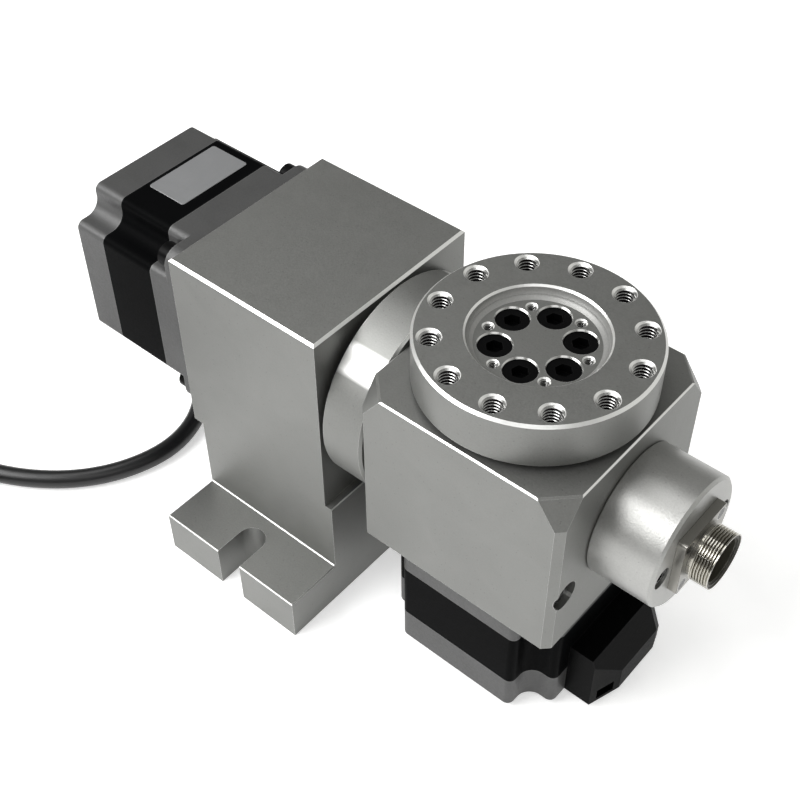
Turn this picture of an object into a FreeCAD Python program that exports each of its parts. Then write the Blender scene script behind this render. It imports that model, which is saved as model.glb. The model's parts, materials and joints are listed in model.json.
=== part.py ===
"""Two-axis rotary unit: a tilt axis on a pedestal carries a table axis.

Both axes use the same gear unit: a stepper motor drives a strain-wave reducer, whose output
plate runs in a crossed-roller bearing. Millimetres. +X runs along the tilt axis, from its
motor to the connector on the tilting head, and +Z is up. The origin is on the base, under the
middle of the leg.
"""
import FreeCAD
import Part
import math
import os

from FreeCAD import Placement, Rotation, Vector

# Pedestal
AXIS_HEIGHT = 72.0
BLOCK_WIDTH = 60.5
LEG_LENGTH = 52.0
LEG_SETBACK = 3.5
LEDGE_CLEARANCE = 0.6
FOOT_REACH = 18.5
FOOT_THICKNESS = 15.0
SLOT_WIDTH = 9.0
SLOT_DEPTH = 14.0
EDGE_CHAMFER = 0.7

# Gear unit, shared by both axes
GEARBOX_LENGTH = 53.0
BORE_DIAMETER = 50.0
CAVITY_DIAMETER = 38.3
CAVITY_DEPTH = 22.0
SPLINE_WIDTH = 7.0
SPLINE_TEETH_DIAMETER = 36.4
FLEX_DIAMETER = 35.8
FLEX_WALL = 0.7
FLEX_BASE = 1.2
FLEX_BOSS_DIAMETER = 27.0
FLEX_BOSS_HEIGHT = 3.8
FLEX_LENGTH = 9.0
WAVE_CLEARANCE = 0.1
WAVE_THROW = 0.5
WAVE_HUB_DIAMETER = 18.0
WAVE_HUB_LENGTH = 10.0
RING_DIAMETER = 36.0
RING_BORE = 13.0
RING_RUNNING_FIT = 0.08
SEAL_THICKNESS = 2.0
SEAL_CLEARANCE = 0.3
RUNNING_GAP = 0.3

# Output plate
PLATE_DIAMETER = 61.5
PLATE_THICKNESS = 13.0
PLATE_GAP = 1.8
PLATE_CHAMFER = 0.7
RECESS_DIAMETER = 35.2
RECESS_DEPTH = 3.2
RECESS_CHAMFER = 0.5
TABLE_HOLE_COUNT = 12
TABLE_HOLE_CIRCLE = 52.5
TABLE_HOLE_DIAMETER = 5.0
TABLE_HOLE_MOUTH = 6.4
PILOT_HOLE_COUNT = 6
PILOT_HOLE_CIRCLE = 26.3
PILOT_HOLE_DIAMETER = 2.5
PILOT_HOLE_MOUTH = 3.2
PILOT_HOLE_DEPTH = 8.0
PLATE_SCREW_COUNT = 6
PLATE_SCREW_CIRCLE = 20.8
PLATE_SCREW_SINK = 0.6
TABLE_REST_TURN = 12.7

# Stepper motor
MOTOR_SIZE = 56.4
MOTOR_FLANGE_THICKNESS = 4.8
MOTOR_FLANGE_CORNER = 5.0
MOTOR_BELL_DEPTH = 12.0
MOTOR_STACK_LENGTH = 19.7
MOTOR_CAP_LENGTH = 11.0
MOTOR_HOLE_EDGE = 4.63
MOTOR_PILOT_DIAMETER = 38.1
MOTOR_PILOT_HEIGHT = 1.6
NOTCH_RADIUS = 4.6
NOTCH_OFFSET = 0.73
NOTCH_SHOULDER = 2.2
SHAFT_DIAMETER = 6.35
SHAFT_REACH = 20.0
SHAFT_FIT = 0.03
ROTOR_DIAMETER = 28.0
ROTOR_AIR_GAP = 0.35
BALL_BEARING_DIAMETER = 22.0
BALL_BEARING_WIDTH = 6.0
BELL_OPENING = 10.0
CAP_WALL = 2.5
TIE_BOLT_INSET = 6.6
TIE_BOLT_BITE = 5.0

# Terminal cover on the side of a motor
COVER_REACH = 11.7
COVER_SIDE_REACH = 8.4
COVER_LOW_SIDE = -13.5
COVER_SLANT_END = -3.3
COVER_HIGH_CORNER = 14.2
COVER_HIGH_SIDE = 18.5
COVER_CORNER_SETBACK = 1.4
COVER_BAND = 8.8
COVER_HEIGHT = 20.5
COVER_TOP_SETBACK = 4.2
COVER_FAR_EDGE = 5.0
COVER_FAR_BEVEL = (0.80, 0.53, 0.30)
OUTLET_WIDTH = 6.0
OUTLET_BASE = 1.2
OUTLET_HEIGHT = 4.0
OUTLET_DEPTH = 4.0

# Tilting head
HOUSING_SIZE = 62.4
MOTOR_SEAT_BELOW_AXIS = 27.0
MOTOR_POCKET_DEPTH = 1.6
MOTOR_POCKET_CLEARANCE = 0.2
HOUSING_CORNER = 2.0
FACET_TOP = 7.6
FACET_DROP = 7.7
SPIGOT_CLEARANCE = 0.1
SPIGOT_HEIGHT = 2.8
HEAD_SCREW_CIRCLE = 55.1
HEAD_SCREW_ANGLE = 21.1
HEAD_SCREW_SINK = 1.5
HEAD_SCREW_BITE = 9.0
HEAD_COUNTERBORE = 8.4
COUNTERBORE_CLEARANCE = 0.5
CAP_DIAMETER = 37.0
CAP_LENGTH = 18.4
CAP_LIFT = 0.8
CAP_END = 4.0
CAP_BORE = 18.0
CAP_RIM = 0.8
CAP_SEAM = 0.4
CAP_SCREW_OFFSET = 13.8
CAP_SCREW_SINK = 0.6
CAP_SCREW_BITE = 6.0

# Connector
CONNECTOR_FLANGE = 18.6
CONNECTOR_FLANGE_THICKNESS = 2.5
CONNECTOR_FLANGE_CORNER = 1.0
BARREL_DIAMETER = 15.6
BARREL_LENGTH = 6.3
BARREL_BORE = 13.2
BARREL_NECK_DIAMETER = 14.2
BARREL_NECK_LENGTH = 1.2
CONNECTOR_BACK_DIAMETER = 15.0
CONNECTOR_BACK_LENGTH = 9.0
CONNECTOR_SCREW_PITCH = 14.0
CONNECTOR_SCREW_HEAD = 3.6
CONNECTOR_SCREW_DIAMETER = 2.0
CONNECTOR_SCREW_LENGTH = 6.0
INSERT_FACE = 2.0
INSERT_LIP = 1.0
INSERT_LINER = 0.5
INSERT_SETBACK = 0.8
KEY_WIDTH = 1.6
KEY_HEIGHT = 1.0
CONTACT_COUNT = 4
CONTACT_CIRCLE = 6.4
CONTACT_DIAMETER = 1.5
CONTACT_REACH = 3.5
CONTACT_TAIL = 3.0

# Socket-head screws: head diameter, head height, shank diameter, socket across flats
M3_SCREW = (5.5, 3.0, 3.0, 2.5)
M4_SCREW = (7.0, 4.0, 4.0, 3.0)
M5_SCREW = (8.5, 5.0, 5.0, 4.0)
MOTOR_SCREW_BITE = 10.0
SPLINE_SCREW_BITE = 8.0
SCREW_HOLE_CLEARANCE = 0.5

# Motor lead
CORD_DIAMETER = 6.0
CORD_ARC_SHARE = 0.45
CORD_OUTLET_ALONG = 5.7
CORD_OUTLET_ACROSS = 5.5
GLAND_DIAMETER = 11.0
GLAND_TIP_DIAMETER = 8.0
GLAND_LENGTH = 5.0
CORD_ROUTE = [
    (-66.5, 5.5, 27.1),
    (-66.5, 5.5, 19.0),
    (-63.6, 0.9, 9.1),
    (-58.4, -7.3, 3.2),
    (-54.6, -22.5, 3.1),
    (-58.9, -38.9, 3.1),
    (-68.7, -53.0, 3.1),
    (-83.4, -64.2, 3.1),
    (-100.6, -71.4, 3.1),
    (-118.2, -74.6, 3.1),
]
COIL_MEAN_RADIUS = 31.0
COIL_BAND = 13.0
COIL_HEIGHT = 12.6
TAIL_ROUTE = [
    (-144.6, -84.2, 9.5),
    (-150.8, -95.9, 10.4),
    (-151.8, -108.0, 13.4),
    (-148.4, -117.6, 16.6),
    (-141.2, -124.8, 19.4),
    (-132.3, -128.0, 21.1),
    (-124.7, -128.0, 21.1),
]
PLUG_DIAMETER = 17.0
PLUG_LENGTH = 38.0
PLUG_NUT_LENGTH = 11.0
PLUG_TAIL_DIAMETER = 10.0
PLUG_TAIL_LENGTH = 12.0

# Places that follow from the sizes
MOTOR_HOLE_PITCH = MOTOR_SIZE - 2 * MOTOR_HOLE_EDGE
MOTOR_LENGTH = MOTOR_BELL_DEPTH + MOTOR_STACK_LENGTH + MOTOR_CAP_LENGTH
STACK_END = -(MOTOR_BELL_DEPTH + MOTOR_STACK_LENGTH)
SPLINE_END = CAVITY_DEPTH + SPLINE_WIDTH
FLEX_START = CAVITY_DEPTH + RUNNING_GAP
FLEX_END = FLEX_START + FLEX_LENGTH
PLATE_BASE = GEARBOX_LENGTH + PLATE_GAP
PLATE_TOP = PLATE_BASE + PLATE_THICKNESS
RECESS_FLOOR = PLATE_TOP - RECESS_DEPTH
PLATE_SCREW_SEAT = RECESS_FLOOR - PLATE_SCREW_SINK - M5_SCREW[1]
TILT_MOTOR_FACE = -LEG_LENGTH / 2 - LEG_SETBACK
HOUSING_FACE = TILT_MOTOR_FACE + PLATE_TOP
TABLE_AXIS_X = HOUSING_FACE + HOUSING_SIZE / 2
TABLE_MOTOR_FACE = AXIS_HEIGHT - MOTOR_SEAT_BELOW_AXIS
LEDGE_HEIGHT = AXIS_HEIGHT - PLATE_DIAMETER / 2 - LEDGE_CLEARANCE
RING_SCREW_RADIUS = (BORE_DIAMETER + RING_DIAMETER) / 4
COIL_CENTRE = Vector(
    CORD_ROUTE[-1][0],
    CORD_ROUTE[-1][1] - COIL_MEAN_RADIUS,
    0,
)

# The table unit stands upright; the tilt unit lies along +X with its local +X side down
TABLE_PLACE = Placement(Vector(TABLE_AXIS_X, 0, TABLE_MOTOR_FACE), Rotation())
TILT_PLACE = Placement(
    Vector(TILT_MOTOR_FACE, 0, AXIS_HEIGHT),
    Rotation(Vector(0, 1, 0), 90),
)
# Pieces drawn along +Z and set on the head's +X side, on the tilt axis
SIDE_PLACE = Placement(
    Vector(HOUSING_FACE + HOUSING_SIZE, 0, AXIS_HEIGHT),
    Rotation(Vector(0, 1, 0), 90),
)
# The cap and its connector sit a little above the tilt axis
CAP_PLACE = Placement(
    SIDE_PLACE.Base + Vector(0, 0, CAP_LIFT),
    SIDE_PLACE.Rotation,
)


def cylinder(diameter, start, end, x=0.0, y=0.0):
    """Upright cylinder between two heights."""
    return Part.makeCylinder(diameter / 2, end - start, Vector(x, y, start))


def cone(low_diameter, high_diameter, start, end, x=0.0, y=0.0):
    """Upright cone frustum between two heights."""
    return Part.makeCone(low_diameter / 2, high_diameter / 2, end - start, Vector(x, y, start))


def ring(outer, inner, start, end):
    """Upright tube between two heights."""
    return cylinder(outer, start, end).cut(cylinder(inner, start, end))


def box(x_range, y_range, z_range):
    """Box between limits along each axis."""
    size = [limit[1] - limit[0] for limit in (x_range, y_range, z_range)]
    return Part.makeBox(*size, Vector(x_range[0], y_range[0], z_range[0]))


def on_circle(count, diameter, first_angle=0.0):
    """Points spread evenly on a circle."""
    points = []
    for index in range(count):
        angle = math.radians(first_angle + 360.0 * index / count)
        points.append((diameter / 2 * math.cos(angle), diameter / 2 * math.sin(angle)))
    return points


def four_corners(pitch):
    """Corner points of a square."""
    half = pitch / 2
    return [(half, half), (-half, half), (-half, -half), (half, -half)]


def prism(points, start, end):
    """Upright prism on a polygon."""
    corners = [Vector(x, y, start) for x, y in points]
    face = Part.Face(Part.makePolygon(corners + corners[:1]))
    return face.extrude(Vector(0, 0, end - start))


def placed(shape, place):
    """Copy of a shape, moved."""
    moved = shape.copy()
    moved.Placement = place.multiply(moved.Placement)
    return moved


def edges_where(shape, test):
    """Edges whose two end points both pass a test."""
    chosen = []
    for edge in shape.Edges:
        if all(test(vertex.Point) for vertex in edge.Vertexes):
            chosen.append(edge)
    return chosen


def socket_screw(screw, seat, length, x=0.0, y=0.0):
    """Socket-head screw pointing down, its head standing on the seat height."""
    head, height, shank, flats = screw
    body = cylinder(head, seat, seat + height, x, y)
    body = body.fuse(cylinder(shank, seat - length, seat, x, y))
    corners = on_circle(6, flats / math.cos(math.radians(30)))
    hexagon = [(x + corner[0], y + corner[1]) for corner in corners]
    return body.cut(prism(hexagon, seat + height / 2, seat + height))


def clear_hole(screw, start, end, x, y):
    """Through hole for a screw's shank."""
    return cylinder(screw[2] + SCREW_HOLE_CLEARANCE, start, end, x, y)


def counterbore(screw, start, end, x, y):
    """Sunk seat for a screw's head."""
    return cylinder(screw[0] + COUNTERBORE_CLEARANCE, start, end, x, y)


def flipped(shape, height):
    """Shape turned upside down about a level line along X."""
    turned = shape.copy()
    turned.rotate(Vector(0, 0, height), Vector(1, 0, 0), 180)
    return turned


# Stepper motor, mounting face at height 0 and body below


def corner_outline(half, shoulder, centre, radius):
    """One rounded notch of the motor's outline, from its +Y side to its +X side."""
    wall = centre - radius
    turn = shoulder * (1 - math.sqrt(0.5))
    deep = centre - radius * math.sqrt(0.5)
    return [
        Part.Arc(
            Vector(wall - shoulder, half, 0),
            Vector(wall - turn, half - turn, 0),
            Vector(wall, half - shoulder, 0),
        ),
        Part.LineSegment(Vector(wall, half - shoulder, 0), Vector(wall, centre, 0)),
        Part.Arc(Vector(wall, centre, 0), Vector(deep, deep, 0), Vector(centre, wall, 0)),
        Part.LineSegment(Vector(centre, wall, 0), Vector(half - shoulder, wall, 0)),
        Part.Arc(
            Vector(half - shoulder, wall, 0),
            Vector(half - turn, wall - turn, 0),
            Vector(half, wall - shoulder, 0),
        ),
        Part.LineSegment(
            Vector(half, wall - shoulder, 0),
            Vector(half, shoulder - wall, 0),
        ),
    ]


def motor_body(start, end):
    """Motor body with a notch at each corner, between two heights."""
    centre = MOTOR_HOLE_PITCH / 2 + NOTCH_OFFSET
    curves = corner_outline(MOTOR_SIZE / 2, NOTCH_SHOULDER, centre, NOTCH_RADIUS)
    quarter = Part.Wire([curve.toShape() for curve in curves])
    sides = []
    for index in range(4):
        side = quarter.copy()
        side.rotate(Vector(0, 0, 0), Vector(0, 0, 1), -90 * index)
        sides.extend(side.Edges)
    outline = Part.Wire(Part.__sortEdges__(sides))
    outline.translate(Vector(0, 0, start))
    return Part.Face(outline).extrude(Vector(0, 0, end - start))


def tie_bolt_points():
    """Places of the bolts that run through the stack, inside the corner notches."""
    return four_corners(MOTOR_HOLE_PITCH - 2 * TIE_BOLT_INSET)


def motor_flange():
    """Square flange and front bell, with the pilot and the front bearing's seat."""
    half = MOTOR_SIZE / 2
    plate = box((-half, half), (-half, half), (-MOTOR_FLANGE_THICKNESS, 0))
    upright = [edge for edge in plate.Edges if abs(edge.tangentAt(0).z) > 0.9]
    plate = plate.makeFillet(MOTOR_FLANGE_CORNER, upright)
    bell = plate.fuse(motor_body(-MOTOR_BELL_DEPTH, -MOTOR_FLANGE_THICKNESS))
    bell = bell.fuse(cylinder(MOTOR_PILOT_DIAMETER, 0, MOTOR_PILOT_HEIGHT))
    bell = bell.cut(cylinder(BELL_OPENING, -MOTOR_BELL_DEPTH, MOTOR_PILOT_HEIGHT))
    seat = -MOTOR_BELL_DEPTH + BALL_BEARING_WIDTH
    bell = bell.cut(cylinder(BALL_BEARING_DIAMETER, -MOTOR_BELL_DEPTH, seat))
    for x, y in four_corners(MOTOR_HOLE_PITCH):
        bell = bell.cut(clear_hole(M4_SCREW, -MOTOR_FLANGE_THICKNESS, 0, x, y))
    for x, y in tie_bolt_points():
        thread = cylinder(M3_SCREW[2], -MOTOR_BELL_DEPTH, -MOTOR_BELL_DEPTH + TIE_BOLT_BITE, x, y)
        bell = bell.cut(thread)
    return bell.removeSplitter()


def motor_stack():
    """Laminated stator with its bore and the holes of the tie bolts."""
    bore = ROTOR_DIAMETER + 2 * ROTOR_AIR_GAP
    stack = motor_body(STACK_END, -MOTOR_BELL_DEPTH)
    stack = stack.cut(cylinder(bore, STACK_END, -MOTOR_BELL_DEPTH))
    for x, y in tie_bolt_points():
        stack = stack.cut(clear_hole(M3_SCREW, STACK_END, -MOTOR_BELL_DEPTH, x, y))
    return stack


def motor_rear_cap():
    """Rear cap with the rear bearing's seat and room for the end of the shaft."""
    cap = motor_body(-MOTOR_LENGTH, STACK_END)
    seat = STACK_END - BALL_BEARING_WIDTH
    cap = cap.cut(cylinder(BALL_BEARING_DIAMETER, seat, STACK_END))
    cap = cap.cut(cylinder(BELL_OPENING, -MOTOR_LENGTH + CAP_WALL, seat))
    for x, y in tie_bolt_points():
        cap = cap.cut(clear_hole(M3_SCREW, -MOTOR_LENGTH, STACK_END, x, y))
        cap = cap.cut(counterbore(M3_SCREW, -MOTOR_LENGTH, -MOTOR_LENGTH + M3_SCREW[1], x, y))
    return cap


def motor_tie_bolts():
    """Long bolts from the rear cap through the stack into the bell, heads sunk flush."""
    seat = MOTOR_LENGTH - M3_SCREW[1]
    length = seat - MOTOR_BELL_DEPTH + TIE_BOLT_BITE
    bolts = []
    for x, y in tie_bolt_points():
        bolts.append(flipped(socket_screw(M3_SCREW, seat, length, x, y), 0))
    return Part.makeCompound(bolts)


def ball_bearings():
    """Front and rear ball bearing of the rotor."""
    bore = SHAFT_DIAMETER + 2 * SHAFT_FIT
    front = -MOTOR_BELL_DEPTH
    rear = STACK_END - BALL_BEARING_WIDTH
    rings = []
    for low in (front, rear):
        rings.append(ring(BALL_BEARING_DIAMETER, bore, low, low + BALL_BEARING_WIDTH))
    return Part.makeCompound(rings)


def motor_screws():
    """Screws that hold the motor's flange, heads in the corner notches."""
    length = MOTOR_FLANGE_THICKNESS + MOTOR_SCREW_BITE
    screws = []
    for x, y in four_corners(MOTOR_HOLE_PITCH):
        screw = socket_screw(M4_SCREW, MOTOR_FLANGE_THICKNESS, length, x, y)
        screws.append(flipped(screw, 0))
    return Part.makeCompound(screws)


def rotor():
    """Motor shaft with its rotor core."""
    tail = -MOTOR_LENGTH + CAP_WALL + RUNNING_GAP
    shaft = cylinder(SHAFT_DIAMETER, tail, SHAFT_REACH)
    low = STACK_END + RUNNING_GAP
    high = -MOTOR_BELL_DEPTH - RUNNING_GAP
    return shaft.fuse(cylinder(ROTOR_DIAMETER, low, high))


def cover_plan():
    """Outline of the terminal cover, seen along the motor's axis."""
    side = MOTOR_SIZE / 2
    return [
        (side, COVER_LOW_SIDE),
        (side + COVER_SIDE_REACH, COVER_LOW_SIDE),
        (side + COVER_REACH, COVER_SLANT_END),
        (side + COVER_REACH, COVER_HIGH_CORNER),
        (side + COVER_REACH - COVER_CORNER_SETBACK, COVER_HIGH_SIDE),
        (side, COVER_HIGH_SIDE),
    ]


def terminal_cover():
    """Cover over the motor's terminals, with a sloping shoulder and a cable outlet."""
    low = -MOTOR_LENGTH
    high = low + COVER_HEIGHT
    band = low + COVER_BAND
    outer = MOTOR_SIZE / 2 + COVER_REACH
    cover = prism(cover_plan(), low, high)
    slope = Part.makePolygon(
        [
            Vector(outer, COVER_LOW_SIDE, band),
            Vector(outer - COVER_TOP_SETBACK, COVER_LOW_SIDE, high),
            Vector(outer, COVER_LOW_SIDE, high),
            Vector(outer, COVER_LOW_SIDE, band),
        ]
    )
    wedge = Part.Face(slope).extrude(Vector(0, COVER_HIGH_SIDE - COVER_LOW_SIDE, 0))
    cover = cover.cut(wedge)
    far_corner = Vector(outer - COVER_CORNER_SETBACK, COVER_HIGH_SIDE, low + COVER_FAR_EDGE)
    bevel = box((-COVER_HEIGHT, COVER_HEIGHT), (-COVER_HEIGHT, COVER_HEIGHT), (0, COVER_HEIGHT))
    bevel.Placement = Placement(far_corner, Rotation(Vector(0, 0, 1), Vector(*COVER_FAR_BEVEL)))
    cover = cover.cut(bevel)
    start = Vector(MOTOR_SIZE / 2 + COVER_SIDE_REACH, COVER_LOW_SIDE, low)
    end = Vector(outer, COVER_SLANT_END, low)
    along = (end - start).normalize()
    middle = (start + end) / 2 + Vector(0, 0, OUTLET_BASE)
    outlet = box((-OUTLET_DEPTH, OUTLET_DEPTH), (-OUTLET_WIDTH / 2, OUTLET_WIDTH / 2), (0, OUTLET_HEIGHT))
    turn = math.degrees(math.atan2(along.y, along.x)) - 90
    outlet.Placement = Placement(middle, Rotation(Vector(0, 0, 1), turn))
    return cover.cut(outlet)


# Gear unit, motor face at height 0 and output above


def gear_bore():
    """Stepped hole that a housing needs for the gear unit, with its screw holes."""
    hole = cylinder(CAVITY_DIAMETER, 0, CAVITY_DEPTH)
    hole = hole.fuse(cylinder(BORE_DIAMETER, CAVITY_DEPTH, GEARBOX_LENGTH))
    for x, y in four_corners(MOTOR_HOLE_PITCH):
        hole = hole.fuse(cylinder(M4_SCREW[2], 0, MOTOR_SCREW_BITE, x, y))
    for x, y in on_circle(6, 2 * RING_SCREW_RADIUS):
        hole = hole.fuse(cylinder(M3_SCREW[2], CAVITY_DEPTH - SPLINE_SCREW_BITE, CAVITY_DEPTH, x, y))
    return hole


def circular_spline():
    """Fixed ring with the inner teeth."""
    spline = ring(BORE_DIAMETER, SPLINE_TEETH_DIAMETER, CAVITY_DEPTH, SPLINE_END)
    for x, y in on_circle(6, 2 * RING_SCREW_RADIUS):
        spline = spline.cut(clear_hole(M3_SCREW, CAVITY_DEPTH, SPLINE_END, x, y))
    return spline


def bearing_outer():
    """Outer ring of the crossed-roller bearing, with seats for the ring screws."""
    top = GEARBOX_LENGTH - SEAL_THICKNESS
    bore = RING_DIAMETER + 2 * RING_RUNNING_FIT
    race = ring(BORE_DIAMETER, bore, SPLINE_END, top)
    for x, y in on_circle(6, 2 * RING_SCREW_RADIUS):
        race = race.cut(clear_hole(M3_SCREW, SPLINE_END, top, x, y))
        race = race.cut(counterbore(M3_SCREW, top - M3_SCREW[1], top, x, y))
    return race


def ring_screws():
    """Screws through the outer ring and the circular spline into the housing."""
    seat = GEARBOX_LENGTH - SEAL_THICKNESS - M3_SCREW[1]
    length = seat - CAVITY_DEPTH + SPLINE_SCREW_BITE
    screws = []
    for x, y in on_circle(6, 2 * RING_SCREW_RADIUS):
        screws.append(socket_screw(M3_SCREW, seat, length, x, y))
    return Part.makeCompound(screws)


def seal():
    """Ring seal in the mouth of the bore."""
    low = GEARBOX_LENGTH - SEAL_THICKNESS
    return ring(BORE_DIAMETER, RING_DIAMETER + 2 * SEAL_CLEARANCE, low, GEARBOX_LENGTH)


def screw_circle():
    """Places of the screws that clamp plate, inner ring and flexspline together."""
    return on_circle(PLATE_SCREW_COUNT, PLATE_SCREW_CIRCLE, 180.0 / PLATE_SCREW_COUNT)


def bearing_inner():
    """Inner ring of the crossed-roller bearing, which carries the output plate."""
    race = ring(RING_DIAMETER, RING_BORE, FLEX_END, PLATE_BASE)
    for x, y in screw_circle():
        race = race.cut(clear_hole(M5_SCREW, FLEX_END, PLATE_BASE, x, y))
    return race


def flexspline():
    """Thin-walled cup with the outer teeth, open towards the motor."""
    cup = ring(FLEX_DIAMETER, FLEX_DIAMETER - 2 * FLEX_WALL, FLEX_START, FLEX_END)
    cup = cup.fuse(cylinder(FLEX_DIAMETER, FLEX_END - FLEX_BASE, FLEX_END))
    cup = cup.fuse(cylinder(FLEX_BOSS_DIAMETER, FLEX_END - FLEX_BOSS_HEIGHT, FLEX_END))
    for x, y in screw_circle():
        cup = cup.cut(cylinder(M5_SCREW[2], FLEX_END - FLEX_BOSS_HEIGHT, FLEX_END, x, y))
    return cup.removeSplitter()


def wave_generator():
    """Oval plug in the flexspline, on a hub that grips the motor shaft."""
    long_radius = FLEX_DIAMETER / 2 - FLEX_WALL - WAVE_CLEARANCE
    high = FLEX_END - FLEX_BOSS_HEIGHT - RUNNING_GAP
    oval = Part.Ellipse(Vector(0, 0, FLEX_START), long_radius, long_radius - WAVE_THROW)
    plug = Part.Face(Part.Wire(oval.toShape())).extrude(Vector(0, 0, high - FLEX_START))
    plug = plug.fuse(cylinder(WAVE_HUB_DIAMETER, FLEX_START - WAVE_HUB_LENGTH, FLEX_START))
    return plug.cut(cylinder(SHAFT_DIAMETER, FLEX_START - WAVE_HUB_LENGTH, SHAFT_REACH))


def output_plate():
    """Output plate with its screw recess and the seats of the clamping screws."""
    rim = PLATE_DIAMETER - 2 * PLATE_CHAMFER
    plate = cylinder(PLATE_DIAMETER, PLATE_BASE, PLATE_TOP - PLATE_CHAMFER)
    plate = plate.fuse(cone(PLATE_DIAMETER, rim, PLATE_TOP - PLATE_CHAMFER, PLATE_TOP))
    plate = plate.cut(cylinder(RECESS_DIAMETER, RECESS_FLOOR, PLATE_TOP))
    mouth = RECESS_DIAMETER + 2 * RECESS_CHAMFER
    plate = plate.cut(cone(RECESS_DIAMETER, mouth, PLATE_TOP - RECESS_CHAMFER, PLATE_TOP))
    for x, y in screw_circle():
        plate = plate.cut(clear_hole(M5_SCREW, PLATE_BASE, PLATE_SCREW_SEAT, x, y))
        plate = plate.cut(counterbore(M5_SCREW, PLATE_SCREW_SEAT, RECESS_FLOOR, x, y))
    return plate.removeSplitter()


def tapped_hole(drill, mouth, start, end, x, y):
    """Upright hole for a thread, widened at its upper end."""
    depth = (mouth - drill) / 2
    hole = cylinder(drill, start, end - depth, x, y)
    return hole.fuse(cone(drill, mouth, end - depth, end, x, y))


def table_holes():
    """Tapped holes of the table plate: the large circle and the small one in the recess."""
    holes = []
    for x, y in on_circle(TABLE_HOLE_COUNT, TABLE_HOLE_CIRCLE):
        holes.append(tapped_hole(TABLE_HOLE_DIAMETER, TABLE_HOLE_MOUTH, PLATE_BASE, PLATE_TOP, x, y))
    bottom = RECESS_FLOOR - PILOT_HOLE_DEPTH
    for x, y in on_circle(PILOT_HOLE_COUNT, PILOT_HOLE_CIRCLE):
        holes.append(tapped_hole(PILOT_HOLE_DIAMETER, PILOT_HOLE_MOUTH, bottom, RECESS_FLOOR, x, y))
    return Part.makeCompound(holes)


def plate_screws():
    """Screws through plate and inner ring into the flexspline's boss."""
    length = PLATE_SCREW_SEAT - FLEX_END + FLEX_BOSS_HEIGHT
    screws = [socket_screw(M5_SCREW, PLATE_SCREW_SEAT, length, x, y) for x, y in screw_circle()]
    return Part.makeCompound(screws)


def at_rest_turn(shape):
    """Table piece turned to where it stands at rest."""
    turned = shape.copy()
    turned.rotate(Vector(0, 0, 0), Vector(0, 0, 1), TABLE_REST_TURN)
    return turned


# Pedestal


def foot_slot(side):
    """Open slot in one foot, from its outer edge inwards."""
    edge = BLOCK_WIDTH / 2 + FOOT_REACH
    centre = edge - SLOT_DEPTH + SLOT_WIDTH / 2
    slot = cylinder(SLOT_WIDTH, 0, FOOT_THICKNESS, 0, side * centre)
    y_range = sorted((side * centre, side * edge))
    return slot.fuse(box((-SLOT_WIDTH / 2, SLOT_WIDTH / 2), y_range, (0, FOOT_THICKNESS)))


def broken_edges(shape, test):
    """Shape with a small chamfer on the edges that pass a test at both ends."""
    return shape.makeChamfer(EDGE_CHAMFER, edges_where(shape, test))


def pedestal():
    """One machined piece: square gear block on a leg with two feet."""
    half = BLOCK_WIDTH / 2
    reach = half + FOOT_REACH
    side = LEG_LENGTH / 2
    end = TILT_MOTOR_FACE + GEARBOX_LENGTH
    top = AXIS_HEIGHT + half
    block = box((TILT_MOTOR_FACE, end), (-half, half), (LEDGE_HEIGHT, top))
    block = broken_edges(block, lambda p: p.z > top - EDGE_CHAMFER)
    leg = box((-side, side), (-half, half), (0, LEDGE_HEIGHT))
    leg = broken_edges(leg, lambda p: p.x > 0 and p.z > LEDGE_HEIGHT - EDGE_CHAMFER)
    feet = box((-side, side), (-reach, reach), (0, FOOT_THICKNESS))
    feet = broken_edges(feet, lambda p: p.z > FOOT_THICKNESS - EDGE_CHAMFER)
    body = block.fuse([leg, feet]).removeSplitter()
    for hand in (-1, 1):
        body = body.cut(foot_slot(hand))
    return body.cut(placed(gear_bore(), TILT_PLACE))


# Tilting head


def head_screw_points():
    """Where the long screws cross the head, seen along the tilt axis from its +X end."""
    angle = math.radians(HEAD_SCREW_ANGLE)
    across = HEAD_SCREW_CIRCLE / 2 * math.cos(angle)
    down = HEAD_SCREW_CIRCLE / 2 * math.sin(angle)
    return [(down, -across), (down, across)]


def head_screw_seat():
    """Distance of the long screws' heads below the head's +X face."""
    return HEAD_SCREW_SINK + M4_SCREW[1]


def head_screw_holes():
    """Clearance holes and head seats of the long screws, drawn along +Z."""
    holes = []
    for x, y in head_screw_points():
        holes.append(clear_hole(M4_SCREW, -HOUSING_SIZE, 0, x, y))
        holes.append(cylinder(HEAD_COUNTERBORE, -head_screw_seat(), 0, x, y))
    return holes


def head_screws():
    """Long screws that clamp the head to the tilt plate."""
    seat = -head_screw_seat()
    length = seat + HOUSING_SIZE + HEAD_SCREW_BITE
    screws = [socket_screw(M4_SCREW, seat, length, x, y) for x, y in head_screw_points()]
    return placed(Part.makeCompound(screws), SIDE_PLACE)


def tilt_plate():
    """Output plate of the tilt axis, tapped for the long screws."""
    plate = output_plate()
    for x, y in head_screw_points():
        plate = plate.cut(cylinder(M4_SCREW[2], PLATE_TOP - HEAD_SCREW_BITE, PLATE_TOP, x, y))
    return placed(plate, TILT_PLACE)


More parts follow.
